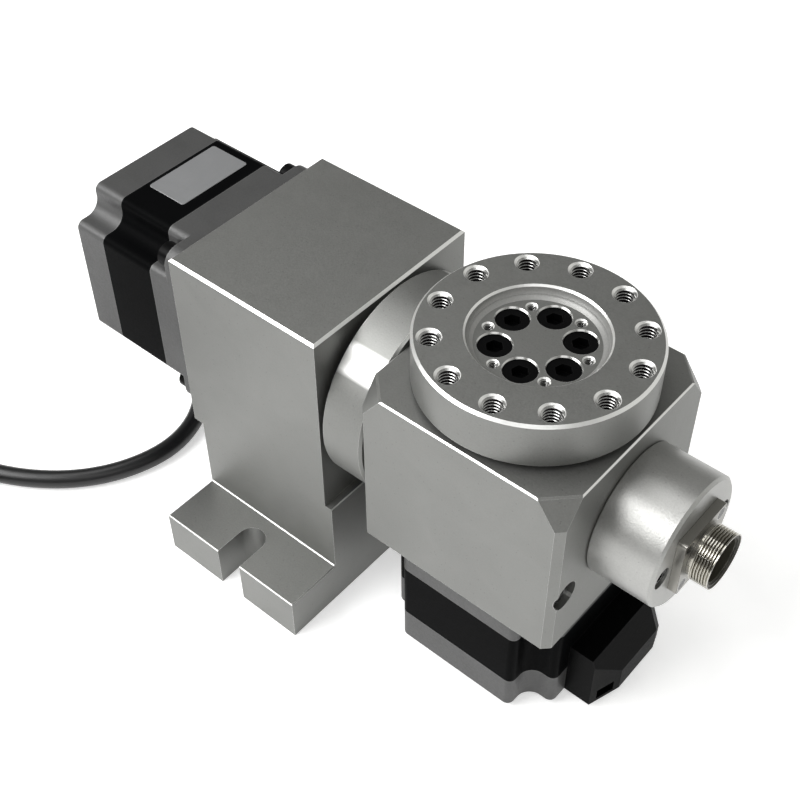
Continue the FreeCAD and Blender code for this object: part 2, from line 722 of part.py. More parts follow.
def corner_facet(x_side, y_side):
    """Wedge that bevels one top corner of the housing."""
    half = HOUSING_SIZE / 2
    rise = (FACET_TOP - HOUSING_CORNER) / FACET_DROP
    low = GEARBOX_LENGTH - FACET_DROP - HOUSING_CORNER / rise
    corner = Vector(x_side * half, y_side * half, low)
    above = Vector(x_side * half, y_side * half, GEARBOX_LENGTH)
    along_x = Vector(x_side * (half - FACET_TOP), y_side * half, GEARBOX_LENGTH)
    along_y = Vector(x_side * half, y_side * (half - FACET_TOP), GEARBOX_LENGTH)
    faces = []
    for outline in (
        (corner, above, along_x),
        (corner, above, along_y),
        (corner, along_x, along_y),
        (above, along_x, along_y),
    ):
        faces.append(Part.Face(Part.makePolygon(list(outline) + [outline[0]])))
    return Part.makeSolid(Part.makeShell(faces))


def housing():
    """Gear housing of the table axis, with bevelled corners and a spigot for the tilt plate."""
    half = HOUSING_SIZE / 2
    body = box((-half, half), (-half, half), (-MOTOR_POCKET_DEPTH, GEARBOX_LENGTH))
    upright = [edge for edge in body.Edges if abs(edge.tangentAt(0).z) > 0.9]
    body = body.makeChamfer(HOUSING_CORNER, upright)
    for x_side in (-1, 1):
        for y_side in (-1, 1):
            body = body.cut(corner_facet(x_side, y_side))
    rims = edges_where(body, lambda p: abs(p.z - GEARBOX_LENGTH) < EDGE_CHAMFER)
    body = body.makeChamfer(EDGE_CHAMFER, rims)
    body = body.cut(gear_bore())
    pocket = MOTOR_SIZE / 2 + MOTOR_POCKET_CLEARANCE
    body = body.cut(box((-pocket, pocket), (-pocket, pocket), (-MOTOR_POCKET_DEPTH, 0)))
    body = placed(body, TABLE_PLACE)
    spigot = cylinder(
        RECESS_DIAMETER - 2 * SPIGOT_CLEARANCE,
        -HOUSING_SIZE - SPIGOT_HEIGHT,
        -HOUSING_SIZE,
    )
    body = body.fuse(placed(spigot, SIDE_PLACE))
    for hole in head_screw_holes():
        body = body.cut(placed(hole, SIDE_PLACE))
    for x, y in cap_screw_points():
        body = body.cut(placed(cylinder(M3_SCREW[2], -CAP_SCREW_BITE, 0, x, y), CAP_PLACE))
    return body


def cap_screw_points():
    """Places of the cap's screws."""
    return [(0, -CAP_SCREW_OFFSET), (0, CAP_SCREW_OFFSET)]


def connector_cap():
    """Round cap on the head's side, with a hollow for the wires and a wall for the connector."""
    seam = CAP_DIAMETER - 2 * CAP_SEAM
    cap = cone(seam, CAP_DIAMETER, 0, CAP_SEAM)
    cap = cap.fuse(cylinder(CAP_DIAMETER, CAP_SEAM, CAP_LENGTH - CAP_RIM))
    cap = cap.fuse(cone(CAP_DIAMETER, CAP_DIAMETER - 2 * CAP_RIM, CAP_LENGTH - CAP_RIM, CAP_LENGTH))
    cap = cap.cut(cylinder(CAP_BORE, 0, CAP_LENGTH - CAP_END))
    cap = cap.cut(cylinder(CONNECTOR_BACK_DIAMETER, CAP_LENGTH - CAP_END, CAP_LENGTH))
    seat = CAP_LENGTH - CAP_SCREW_SINK - M3_SCREW[1]
    for x, y in cap_screw_points():
        cap = cap.cut(clear_hole(M3_SCREW, 0, seat, x, y))
        cap = cap.cut(counterbore(M3_SCREW, seat, CAP_LENGTH, x, y))
    for x, y in four_corners(CONNECTOR_SCREW_PITCH):
        low = CAP_LENGTH + CONNECTOR_FLANGE_THICKNESS - CONNECTOR_SCREW_LENGTH
        cap = cap.cut(cylinder(CONNECTOR_SCREW_DIAMETER, low, CAP_LENGTH, x, y))
    return placed(cap, CAP_PLACE)


def cap_screws():
    """Screws through the cap into the housing."""
    seat = CAP_LENGTH - CAP_SCREW_SINK - M3_SCREW[1]
    length = seat + CAP_SCREW_BITE
    screws = [socket_screw(M3_SCREW, seat, length, x, y) for x, y in cap_screw_points()]
    return placed(Part.makeCompound(screws), CAP_PLACE)


# Connector on the cap


def connector_key():
    """Rib in the barrel that sets the plug's turn."""
    wall = BARREL_BORE / 2
    end = CAP_LENGTH + CONNECTOR_FLANGE_THICKNESS + BARREL_LENGTH - INSERT_SETBACK
    return box(
        (-KEY_WIDTH / 2, KEY_WIDTH / 2),
        (-wall - KEY_HEIGHT / 2, -wall + KEY_HEIGHT),
        (CAP_LENGTH + INSERT_FACE, end),
    )


def connector_shell():
    """Square flange with a barrel in front and a back that passes the cap's wall."""
    half = CONNECTOR_FLANGE / 2
    front = CAP_LENGTH + CONNECTOR_FLANGE_THICKNESS
    flange = box((-half, half), (-half, half), (CAP_LENGTH, front))
    upright = [edge for edge in flange.Edges if abs(edge.tangentAt(0).z) > 0.9]
    flange = flange.makeFillet(CONNECTOR_FLANGE_CORNER, upright)
    neck = front + BARREL_NECK_LENGTH
    end = front + BARREL_LENGTH
    shell = flange.fuse(cylinder(BARREL_NECK_DIAMETER, front, neck))
    shell = shell.fuse(cylinder(BARREL_DIAMETER, neck, end))
    back = CAP_LENGTH - CONNECTOR_BACK_LENGTH
    shell = shell.fuse(cylinder(CONNECTOR_BACK_DIAMETER, back, CAP_LENGTH))
    shell = shell.cut(cylinder(BARREL_BORE, back + INSERT_LIP, end))
    shell = shell.cut(cylinder(BARREL_BORE - 2 * INSERT_LIP, back, end))
    shell = shell.fuse(connector_key())
    for x, y in four_corners(CONNECTOR_SCREW_PITCH):
        shell = shell.cut(connector_screw_form(x, y))
    return placed(shell.removeSplitter(), CAP_PLACE)


def connector_screw_form(x, y):
    """Countersunk screw of the connector's flange, also the hole that takes it."""
    front = CAP_LENGTH + CONNECTOR_FLANGE_THICKNESS
    depth = (CONNECTOR_SCREW_HEAD - CONNECTOR_SCREW_DIAMETER) / 2
    head = cone(CONNECTOR_SCREW_DIAMETER, CONNECTOR_SCREW_HEAD, front - depth, front, x, y)
    return head.fuse(cylinder(CONNECTOR_SCREW_DIAMETER, front - CONNECTOR_SCREW_LENGTH, front - depth, x, y))


def connector_screws():
    """The flange's countersunk screws."""
    screws = [connector_screw_form(x, y) for x, y in four_corners(CONNECTOR_SCREW_PITCH)]
    return placed(Part.makeCompound(screws), CAP_PLACE)


def contact_pins():
    """Contact pins through the connector's insert, one solid each."""
    low = CAP_LENGTH - CONNECTOR_BACK_LENGTH + INSERT_LIP - CONTACT_TAIL
    high = CAP_LENGTH + INSERT_FACE + CONTACT_REACH
    points = on_circle(CONTACT_COUNT, CONTACT_CIRCLE, 180.0 / CONTACT_COUNT)
    return Part.makeCompound([cylinder(CONTACT_DIAMETER, low, high, x, y) for x, y in points])


def connector_insert():
    """Insulating cup in the barrel, against the lip at the shell's back."""
    low = CAP_LENGTH - CONNECTOR_BACK_LENGTH + INSERT_LIP
    face = CAP_LENGTH + INSERT_FACE
    end = CAP_LENGTH + CONNECTOR_FLANGE_THICKNESS + BARREL_LENGTH - INSERT_SETBACK
    cup = cylinder(BARREL_BORE, low, end)
    cup = cup.cut(cylinder(BARREL_BORE - 2 * INSERT_LINER, face, end))
    cup = cup.cut(connector_key())
    return placed(cup.cut(contact_pins()), CAP_PLACE)


def connector_contacts():
    """The pins where they stand in the head."""
    return placed(contact_pins(), CAP_PLACE)


# Motor lead of the tilt axis


def cord_path(points):
    """Straight runs joined by tangent arcs, and the radius of each arc."""
    knots = [Vector(*point) for point in points]
    edges = []
    radii = []
    start = knots[0]
    for before, knot, after in zip(knots, knots[1:], knots[2:]):
        into = knot - before
        out = after - knot
        half_turn = into.getAngle(out) / 2
        trim = CORD_ARC_SHARE * min(into.Length, out.Length)
        radii.append(trim / math.tan(half_turn))
        into.normalize()
        out.normalize()
        first = knot - into * trim
        last = knot + out * trim
        inward = (out - into).normalize()
        sag = radii[-1] * (1 / math.cos(half_turn) - 1)
        edges.append(Part.LineSegment(start, first).toShape())
        edges.append(Part.Arc(first, knot + inward * sag, last).toShape())
        start = last
    edges.append(Part.LineSegment(start, knots[-1]).toShape())
    return Part.Wire(edges), radii


def cord_tube(points, label):
    """Round tube along a route; prints its radii and compares its volume."""
    path, radii = cord_path(points)
    section = Part.Circle(Vector(*points[0]), path.Edges[0].tangentAt(0), CORD_DIAMETER / 2)
    tube = path.makePipeShell([Part.Wire(section.toShape())], True, True)
    expected = math.pi * (CORD_DIAMETER / 2) ** 2 * path.Length
    print(label, "radii", [round(radius, 1) for radius in radii])
    print(label, "length", round(path.Length, 1), "volume ratio", round(tube.Volume / expected, 4))
    return tube


def cable_gland():
    """Rubber outlet on the tilt motor's terminal cover, drawn outwards along +Z."""
    gland = cone(GLAND_DIAMETER, GLAND_TIP_DIAMETER, 0, GLAND_LENGTH)
    side = AXIS_HEIGHT - MOTOR_SIZE / 2 - COVER_REACH
    along = TILT_MOTOR_FACE - MOTOR_LENGTH + CORD_OUTLET_ALONG
    gland.Placement = Placement(
        Vector(along, CORD_OUTLET_ACROSS, side),
        Rotation(Vector(1, 0, 0), 180),
    )
    return gland


def coil():
    """Outer shape of the coiled part of the lead."""
    outer = 2 * COIL_MEAN_RADIUS + COIL_BAND
    band = ring(outer, 2 * COIL_MEAN_RADIUS - COIL_BAND, 0, COIL_HEIGHT)
    band.translate(COIL_CENTRE)
    return band


def plug():
    """Round cable plug on the end of the lead, lying on its coupling nut."""
    end = Vector(*TAIL_ROUTE[-1])
    along = end - Vector(*TAIL_ROUTE[-2])
    body = cylinder(PLUG_TAIL_DIAMETER, 0, PLUG_TAIL_LENGTH)
    shoulder = PLUG_LENGTH - PLUG_NUT_LENGTH
    body = body.fuse(cone(PLUG_TAIL_DIAMETER, PLUG_DIAMETER, PLUG_TAIL_LENGTH, shoulder))
    body = body.fuse(cylinder(PLUG_DIAMETER, shoulder, PLUG_LENGTH))
    level = Vector(along.x, along.y, 0)
    body.Placement = Placement(end, Rotation(Vector(0, 0, 1), level))
    return body


def gear_nodes(axis, place, turned):
    """Pieces that both gear units have, by node name."""
    pieces = {
        "motor_flange": motor_flange(),
        "motor_stack": motor_stack(),
        "motor_rear_cap": motor_rear_cap(),
        "motor_tie_bolts": motor_tie_bolts(),
        "motor_bearings": ball_bearings(),
        "motor_screws": motor_screws(),
        "terminal_cover": terminal_cover(),
        "rotor": rotor(),
        "wave_generator": wave_generator(),
        "circular_spline": circular_spline(),
        "bearing_outer": bearing_outer(),
        "ring_screws": ring_screws(),
        "seal": seal(),
        "bearing_inner": turned(bearing_inner()),
        "flexspline": turned(flexspline()),
        "plate_screws": turned(plate_screws()),
    }
    return {f"{axis}_{name}": placed(shape, place) for name, shape in pieces.items()}


def all_nodes():
    """Every piece of the rotary unit, by node name."""
    nodes = {"pedestal": pedestal(), "tilt_plate": tilt_plate()}
    nodes.update(gear_nodes("tilt", TILT_PLACE, lambda shape: shape))
    nodes["table_housing"] = housing()
    table = at_rest_turn(output_plate().cut(table_holes()))
    nodes["table_plate"] = placed(table, TABLE_PLACE)
    nodes.update(gear_nodes("table", TABLE_PLACE, at_rest_turn))
    nodes["head_screws"] = head_screws()
    nodes["connector_cap"] = connector_cap()
    nodes["cap_screws"] = cap_screws()
    nodes["connector_shell"] = connector_shell()
    nodes["connector_screws"] = connector_screws()
    nodes["connector_insert"] = connector_insert()
    nodes["connector_contacts"] = connector_contacts()
    nodes["cable_gland"] = cable_gland()
    nodes["lead_cable"] = cord_tube(CORD_ROUTE, "lead").cut(coil())
    nodes["lead_coil"] = coil()
    nodes["lead_tail"] = cord_tube(TAIL_ROUTE, "tail").cut(coil())
    nodes["lead_plug"] = plug()
    return nodes


def main():
    os.makedirs("parts", exist_ok=True)
    for name, shape in all_nodes().items():
        solids = len(shape.Solids)
        print(f"{name}: {solids} solids, {shape.Volume:.0f} mm3, valid {shape.isValid()}")
        shape.exportStep(f"parts/{name}.step")


main()
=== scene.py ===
"""Looks of a two-axis rotary unit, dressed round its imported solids.

Metres, in the part's own frame: +X along the tilt axis, +Z up, base on the floor.
"""
import json
import logging
import math
from collections.abc import Callable, Sequence
from dataclasses import dataclass, field, replace
from enum import Enum

import bmesh
import bpy
from bpy.types import Material, Node, NodeSocket, NodeTree, Object
from mathutils import Matrix, Vector

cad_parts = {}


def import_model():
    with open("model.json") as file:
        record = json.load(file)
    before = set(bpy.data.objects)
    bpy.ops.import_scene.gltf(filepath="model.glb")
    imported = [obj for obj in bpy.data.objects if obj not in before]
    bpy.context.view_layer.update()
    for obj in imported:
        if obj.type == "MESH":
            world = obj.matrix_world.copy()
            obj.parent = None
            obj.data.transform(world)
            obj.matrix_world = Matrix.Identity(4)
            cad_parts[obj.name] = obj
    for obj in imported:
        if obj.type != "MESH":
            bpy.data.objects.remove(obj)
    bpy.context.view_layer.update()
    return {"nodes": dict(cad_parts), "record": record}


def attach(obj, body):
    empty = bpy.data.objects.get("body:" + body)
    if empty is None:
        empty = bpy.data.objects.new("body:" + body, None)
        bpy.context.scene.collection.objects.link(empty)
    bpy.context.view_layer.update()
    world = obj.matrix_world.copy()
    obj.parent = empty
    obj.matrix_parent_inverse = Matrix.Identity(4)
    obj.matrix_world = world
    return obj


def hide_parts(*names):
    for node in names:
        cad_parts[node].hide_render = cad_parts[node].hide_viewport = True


LOG = logging.getLogger("rotary_unit")
MM = 0.001
# Smallest gap or overlap that keeps two faces apart
HAIR = 0.01 * MM
# Largest angle between faces of a solid that is still shaded smooth, in degrees
SOLID_SMOOTH = 16.0
# How far a normal may lean along an axis that it is square to, and how far one along it has to
LEVEL = 0.2
UPRIGHT = 0.9
Colour = tuple[float, float, float, float]
Point = tuple[float, float, float]
Pair = tuple[float, float]
UP: Point = (0.0, 0.0, 1.0)

# Places of the axes and of the main faces in the part's frame
TILT_AXIS_HEIGHT = 72.0 * MM
TABLE_AXIS_X = 69.5 * MM
TABLE_TOP = 112.8 * MM
TABLE_REST_TURN = math.radians(12.7)
HEAD_SIDE_X = 100.7 * MM
CAP_AXIS_HEIGHT = 72.8 * MM


def show(made: Object) -> None:
    """Puts an object into the scene."""
    bpy.context.scene.collection.objects.link(made)


@dataclass
class Graph:
    """Adds and links shader nodes in one node tree."""

    tree: NodeTree

    def feed(self, socket: NodeSocket, value: object) -> None:
        """Links an output to a socket, or sets the socket's own value."""
        if isinstance(value, NodeSocket):
            self.tree.links.new(value, socket)
        else:
            socket.default_value = value

    def node(self, kind: str, inputs: dict | None = None, **settings: object) -> Node:
        """Adds a node.

        Args:
            kind: Blender's name of the node.
            inputs: values or outputs for its sockets, by name or number.
            settings: properties of the node.

        Returns:
            The new node.
        """
        made = self.tree.nodes.new(kind)
        for key, value in settings.items():
            setattr(made, key, value)
        for key, value in (inputs or {}).items():
            self.feed(made.inputs[key], value)
        return made

    def math(
        self, operation: str, first: object, second: object = 0.0, clamp: bool = False
    ) -> NodeSocket:
        """Result of one arithmetic step."""
        made = self.node("ShaderNodeMath", {0: first, 1: second}, operation=operation, use_clamp=clamp)
        return made.outputs[0]

    def vector(self, operation: str, first: object, second: object = (0.0, 0.0, 0.0)) -> Node:
        """Node of one vector step."""
        return self.node("ShaderNodeVectorMath", {0: first, 1: second}, operation=operation)

    def blend(self, factor: object, first: object, second: object) -> NodeSocket:
        """Colour between two colours."""
        made = self.node("ShaderNodeMix", {0: factor, 6: first, 7: second}, data_type="RGBA")
        return made.outputs[2]

    def span(
        self, value: object, low: float, high: float, to_low: float, to_high: float
    ) -> NodeSocket:
        """Value carried from one range to another, and held inside it."""
        inputs = {0: value, 1: low, 2: high, 3: to_low, 4: to_high}
        return self.node("ShaderNodeMapRange", inputs).outputs[0]


class Effect(Enum):
    """Surface effects that several finishes share."""

    GRAIN = "surface_grain"
    HANDLING = "handling_marks"
    EDGE = "bright_edge"
    CHAMFER = "cut_chamfer"
    LINES = "tool_lines"


@dataclass
class EffectLibrary:
    """Shader node groups of the shared effects, each built once."""

    built: dict[Effect, NodeTree] = field(default_factory=dict)

    def get(self, effect: Effect) -> NodeTree:
        """Group of an effect, built at its first use."""
        if effect not in self.built:
            self.built[effect] = getattr(self, f"make_{effect.name.lower()}")()
        return self.built[effect]

    def add(self, graph: Graph, effect: Effect, **inputs: object) -> Node:
        """Node of an effect in a material, with values for its sockets."""
        return graph.node("ShaderNodeGroup", inputs, node_tree=self.get(effect))

    def start(
        self, effect: Effect, inputs: dict[str, object], outputs: Sequence[str]
    ) -> tuple[Graph, Node, Node]:
        """Empty group with its sockets.

        Args:
            effect: the effect that the group is for.
            inputs: default values by socket name, numbers or vectors.
            outputs: names of the value outputs.

        Returns:
            The group's graph, its input node and its output node.
        """
        tree = bpy.data.node_groups.new(effect.value, "ShaderNodeTree")
        for name, value in inputs.items():
            kind = "NodeSocketFloat" if isinstance(value, float) else "NodeSocketVector"
            socket = tree.interface.new_socket(name, in_out="INPUT", socket_type=kind)
            socket.default_value = value
        for name in outputs:
            tree.interface.new_socket(name, in_out="OUTPUT", socket_type="NodeSocketFloat")
        graph = Graph(tree)
        return graph, graph.node("NodeGroupInput"), graph.node("NodeGroupOutput")

    def round_axis(
        self, graph: Graph, given: Node
    ) -> tuple[NodeSocket, NodeSocket]:
        """Place from a group's centre, and radius round its axis."""
        place = graph.node("ShaderNodeTexCoord").outputs["Object"]
        arm = graph.vector("SUBTRACT", place, given.outputs["Centre"]).outputs[0]
        across = graph.vector("CROSS_PRODUCT", arm, given.outputs["Axis"]).outputs[0]
        return arm, graph.vector("LENGTH", across).outputs["Value"]

    def make_grain(self) -> NodeTree:
        """Pits and peaks of a blasted, cast or moulded surface."""
        graph, given, result = self.start(Effect.GRAIN, {"Density": 4000.0}, ("Height", "Fleck"))
        place = graph.node("ShaderNodeTexCoord").outputs["Object"]
        fine = graph.node(
            "ShaderNodeTexNoise",
            {"Vector": place, "Scale": given.outputs["Density"], "Detail": 2.0, "Roughness": 0.65},
        )
        pit_density = graph.math("MULTIPLY", given.outputs["Density"], 0.55)
        pits = graph.node("ShaderNodeTexVoronoi", {"Vector": place, "Scale": pit_density})
        depth = graph.math("MULTIPLY", pits.outputs["Distance"], 0.6)
        graph.feed(result.inputs["Height"], graph.math("ADD", fine.outputs["Fac"], depth))
        fleck_density = graph.math("MULTIPLY", given.outputs["Density"], 0.8)
        fleck = graph.node("ShaderNodeTexNoise", {"Vector": place, "Scale": fleck_density, "Detail": 3.0})
        graph.feed(result.inputs["Fleck"], graph.span(fleck.outputs["Fac"], 0.3, 0.7, 0.0, 1.0))
        return graph.tree

    def make_handling(self) -> NodeTree:
        """Faint cloudy patches that handling and cleaning leave."""
        graph, given, result = self.start(Effect.HANDLING, {"Density": 60.0}, ("Cloud", "Speck"))
        place = graph.node("ShaderNodeTexCoord").outputs["Object"]
        cloud = graph.node(
            "ShaderNodeTexNoise",
            {
                "Vector": place,
                "Scale": given.outputs["Density"],
                "Detail": 4.0,
                "Roughness": 0.55,
                "Distortion": 0.6,
            },
        )
        graph.feed(result.inputs["Cloud"], graph.span(cloud.outputs["Fac"], 0.3, 0.7, 0.0, 1.0))
        speck_density = graph.math("MULTIPLY", given.outputs["Density"], 9.0)
        speck = graph.node("ShaderNodeTexVoronoi", {"Vector": place, "Scale": speck_density})
        graph.feed(result.inputs["Speck"], graph.span(speck.outputs["Distance"], 0.05, 0.13, 1.0, 0.0))
        return graph.tree

    def make_edge(self) -> NodeTree:
        """Mask of the edges, where a finish is thin or cut through."""
        graph, given, result = self.start(Effect.EDGE, {"Radius": 0.0003}, ("Edge",))
        rounded = graph.node("ShaderNodeBevel", {"Radius": given.outputs["Radius"]}, samples=6)
        flat = graph.node("ShaderNodeNewGeometry").outputs["Normal"]
        same = graph.vector("DOT_PRODUCT", rounded.outputs[0], flat).outputs["Value"]
        graph.feed(result.inputs["Edge"], graph.span(same, 0.86, 0.99, 1.0, 0.0))
        return graph.tree

    def make_chamfer(self) -> NodeTree:
        """Mask of the faces cut at half a right angle to an axis, beyond a radius round it."""
        inputs = {"Centre": (0.0, 0.0, 0.0), "Axis": UP, "Inner": 0.0}
        graph, given, result = self.start(Effect.CHAMFER, inputs, ("Chamfer",))
        normal = graph.node("ShaderNodeTexCoord").outputs["Normal"]
        lean = graph.vector("DOT_PRODUCT", normal, given.outputs["Axis"]).outputs["Value"]
        lean = graph.math("ABSOLUTE", lean)
        enough = graph.span(lean, 0.6, 0.64, 0.0, 1.0)
        little = graph.span(lean, 0.78, 0.82, 1.0, 0.0)
        _, radius = self.round_axis(graph, given)
        beyond = graph.math("GREATER_THAN", radius, given.outputs["Inner"])
        leaning = graph.math("MULTIPLY", enough, little)
        graph.feed(result.inputs["Chamfer"], graph.math("MULTIPLY", leaning, beyond))
        return graph.tree

    def make_lines(self) -> NodeTree:
        """Fine lines round an axis, as turning or stacked sheets leave them."""
        inputs = {"Centre": (0.0, 0.0, 0.0), "Axis": UP, "Density": 3000.0}
        graph, given, result = self.start(Effect.LINES, inputs, ("Height", "Tone"))
        arm, radius = self.round_axis(graph, given)
        along = graph.vector("DOT_PRODUCT", arm, given.outputs["Axis"]).outputs["Value"]
        pair = graph.node("ShaderNodeCombineXYZ", {0: along, 1: radius}).outputs[0]
        line = graph.node(
            "ShaderNodeTexNoise", {"Vector": pair, "Scale": given.outputs["Density"], "Detail": 2.0}
        )
        graph.feed(result.inputs["Height"], line.outputs["Fac"])
        wide_density = graph.math("MULTIPLY", given.outputs["Density"], 0.12)
        wide = graph.node("ShaderNodeTexNoise", {"Vector": pair, "Scale": wide_density, "Detail": 2.0})
        graph.feed(result.inputs["Tone"], graph.span(wide.outputs["Fac"], 0.3, 0.7, 0.0, 1.0))
        return graph.tree


EFFECTS = EffectLibrary()


@dataclass(frozen=True)
class Finish:
    """One surface finish: its colour, gloss, grain, edges and chamfers, and tool lines."""

    name: str
    colour: Colour
    roughness: float
    metallic: float = 0.0
    specular: float = 0.5
    grain_density: float = 4000.0
    grain_depth: float = 0.00002
    grain_tone: float = 0.0
    gloss_spread: float = 0.06
    cloud: float = 0.06
    speck: float = 0.0
    edge_radius: float = 0.0
    edge_colour: Colour = (0.9, 0.9, 0.89, 1.0)
    edge_share: float = 0.0
    edge_gloss: float = 0.0
    chamfer_axis: Point | None = None
    chamfer_inner: float = -1.0
    line_depth: float = 0.0
    line_density: float = 3000.0
    line_centre: Point = (0.0, 0.0, TILT_AXIS_HEIGHT)
    line_axis: Point = (1.0, 0.0, 0.0)

    def shade(self, factor: float) -> Colour:
        """The finish's colour, lighter or darker."""
        red, green, blue, _ = self.colour
        return (red * factor, green * factor, blue * factor, 1.0)

    def material(self) -> Material:
        """The finish's material, built at its first use."""
        name = f"finish_{self.name}"
        made = bpy.data.materials.get(name)
        if made is not None:
            return made
        made = bpy.data.materials.new(name)
        made.use_nodes = True
        surface = made.node_tree.nodes["Principled BSDF"]
        surface.inputs["Metallic"].default_value = self.metallic
        surface.inputs["Specular IOR Level"].default_value = self.specular
        self.lay_out(Graph(made.node_tree), surface)
        return made

    def lay_out(self, graph: Graph, surface: Node) -> None:
        """Feeds colour, roughness and relief of the surface.

        Args:
            graph: the material's graph.
            surface: its Principled BSDF.
        """
        grain = EFFECTS.add(graph, Effect.GRAIN, Density=self.grain_density)
        marks = EFFECTS.add(graph, Effect.HANDLING)
        colour = graph.blend(marks.outputs["Cloud"], self.shade(1 - self.cloud), self.shade(1 + self.cloud))
        low = self.roughness - self.gloss_spread
        high = self.roughness + self.gloss_spread
        rough = graph.span(grain.outputs["Fleck"], 0.0, 1.0, low, high)
        height = graph.math("MULTIPLY", grain.outputs["Height"], self.grain_depth)
        if self.grain_tone:
            share = graph.math("MULTIPLY", grain.outputs["Fleck"], self.grain_tone)
            colour = graph.blend(share, colour, self.shade(2.0))
        if self.speck:
            share = graph.math("MULTIPLY", marks.outputs["Speck"], self.speck)
            colour = graph.blend(share, colour, self.shade(0.45))
        if self.line_depth:
            lines = EFFECTS.add(
                graph, Effect.LINES, Centre=self.line_centre, Axis=self.line_axis, Density=self.line_density
            )
            groove = graph.math("MULTIPLY", lines.outputs["Height"], self.line_depth)
            height = graph.math("ADD", height, groove)
            tone = graph.math("MULTIPLY", lines.outputs["Tone"], self.cloud)
            colour = graph.blend(tone, colour, self.shade(1.25))
        if self.edge_radius:
            cut = EFFECTS.add(graph, Effect.EDGE, Radius=self.edge_radius).outputs["Edge"]
            if self.chamfer_axis:
                chamfer = EFFECTS.add(
                    graph,
                    Effect.CHAMFER,
                    Centre=self.line_centre,
                    Axis=self.chamfer_axis,
                    Inner=self.chamfer_inner,
                )
                cut = graph.math("MAXIMUM", cut, chamfer.outputs["Chamfer"])
            worn = graph.math("MULTIPLY", cut, self.edge_share)
            colour = graph.blend(worn, colour, self.edge_colour)
            gloss = graph.math("MULTIPLY", worn, self.edge_gloss)
            rough = graph.math("SUBTRACT", rough, gloss, clamp=True)
        bump = graph.node("ShaderNodeBump", {"Height": height, "Distance": 1.0})
        graph.feed(surface.inputs["Base Color"], colour)
        graph.feed(surface.inputs["Roughness"], rough)
        graph.feed(surface.inputs["Normal"], bump.outputs[0])


BLASTED = Finish(
    "blasted_aluminium", (0.196, 0.198, 0.19, 1.0), roughness=0.47, metallic=0.82,
    grain_density=2600.0, grain_depth=0.000022, grain_tone=0.16, cloud=0.045, speck=0.4,
    edge_radius=0.00012, edge_colour=(0.8, 0.8, 0.785, 1.0), edge_share=0.95, edge_gloss=0.12,
    chamfer_axis=UP,
)
TURNED = replace(
    BLASTED, name="turned_aluminium", edge_colour=(0.42, 0.42, 0.41, 1.0),
    chamfer_axis=(1.0, 0.0, 0.0), chamfer_inner=29.8 * MM, edge_share=0.45,
    colour=(0.19, 0.192, 0.185, 1.0), roughness=0.42, metallic=0.85, line_depth=0.000006,
    line_density=2600.0,
)
CAP_FINISH = replace(
    TURNED, name="turned_cap", colour=(0.35, 0.35, 0.34, 1.0), roughness=0.39, chamfer_axis=None,
)
CUT_THREAD = replace(
    BLASTED, name="cut_thread", colour=(0.48, 0.48, 0.47, 1.0), roughness=0.22, metallic=0.95,
    grain_depth=0.000003, speck=0.0, edge_radius=0.0,
)
# Painted shade: a near-black copy of the cut thread for the ridge faces that don't face up
THREAD_PAINTED_SHADE = replace(
    CUT_THREAD, name="thread_painted_shade", colour=(0.008, 0.008, 0.008, 1.0), metallic=0.3, specular=0.1
)
# Painted shade: a near-black copy of the cut finish for the walls of the head's screw bores
BORE_PAINTED_SHADE = replace(CUT_THREAD, name="bore_painted_shade", colour=(0.03, 0.03, 0.029, 1.0), metallic=0.6)
# Painted light: a lighter, less metallic copy of the blasted aluminium, for the wall of the table's recess
COVE_PAINTED_LIGHT = replace(
    BLASTED, name="recess_cove_painted_light", colour=(0.28, 0.28, 0.272, 1.0), metallic=0.5, edge_radius=0.0,
)
CASTING = Finish(
    "motor_casting", (0.085, 0.085, 0.085, 1.0), roughness=0.48, metallic=0.6, grain_density=2200.0,
    grain_depth=0.00003, cloud=0.09, speck=0.2, edge_radius=0.0004,
    edge_colour=(0.28, 0.28, 0.275, 1.0), edge_share=0.5, edge_gloss=0.1,
)
STATOR = Finish(
    "stator_black", (0.002, 0.0021, 0.0023, 1.0), roughness=0.4, specular=0.012, grain_density=2500.0,
    grain_depth=0.000008, cloud=0.12, line_depth=0.000012, line_density=2000.0, edge_radius=0.0005,
    edge_colour=(0.02, 0.02, 0.021, 1.0), edge_share=0.6,
)
BLACK_STEEL = Finish(
    "black_steel", (0.0015, 0.0015, 0.0017, 1.0), roughness=0.36, metallic=0.1, specular=0.07,
    grain_density=5000.0, grain_depth=0.000004, cloud=0.15, edge_radius=0.0002,
    edge_colour=(0.02, 0.02, 0.02, 1.0), edge_share=0.5,
)
GROUND_STEEL = Finish(
    "bearing_steel", (0.5, 0.5, 0.49, 1.0), roughness=0.25, metallic=1.0, grain_depth=0.000003,
    line_depth=0.000004,
)
PLASTIC = Finish(
    "cover_plastic", (0.0015, 0.0016, 0.0017, 1.0), roughness=0.42, specular=0.03,
    grain_density=3000.0, grain_depth=0.00002, cloud=0.1, edge_radius=0.0005,
    edge_colour=(0.02, 0.02, 0.021, 1.0), edge_share=0.6,
)
SCREW_STEEL = Finish(
    "screw_steel", (0.035, 0.035, 0.034, 1.0), roughness=0.26, metallic=0.9, grain_density=5000.0,
    grain_depth=0.000003, cloud=0.1, line_depth=0.000003, edge_radius=0.0002, edge_share=0.8,
)
SEAL = Finish("seal_rubber", (0.02, 0.02, 0.02, 1.0), roughness=0.6, grain_depth=0.00001)
NICKEL = Finish(
    "nickel_plate", (0.36, 0.345, 0.3, 1.0), roughness=0.14, metallic=1.0, grain_density=3000.0,
    grain_depth=0.000003, gloss_spread=0.04, cloud=0.08, edge_radius=0.00015, edge_share=0.5,
    edge_gloss=0.05,
)
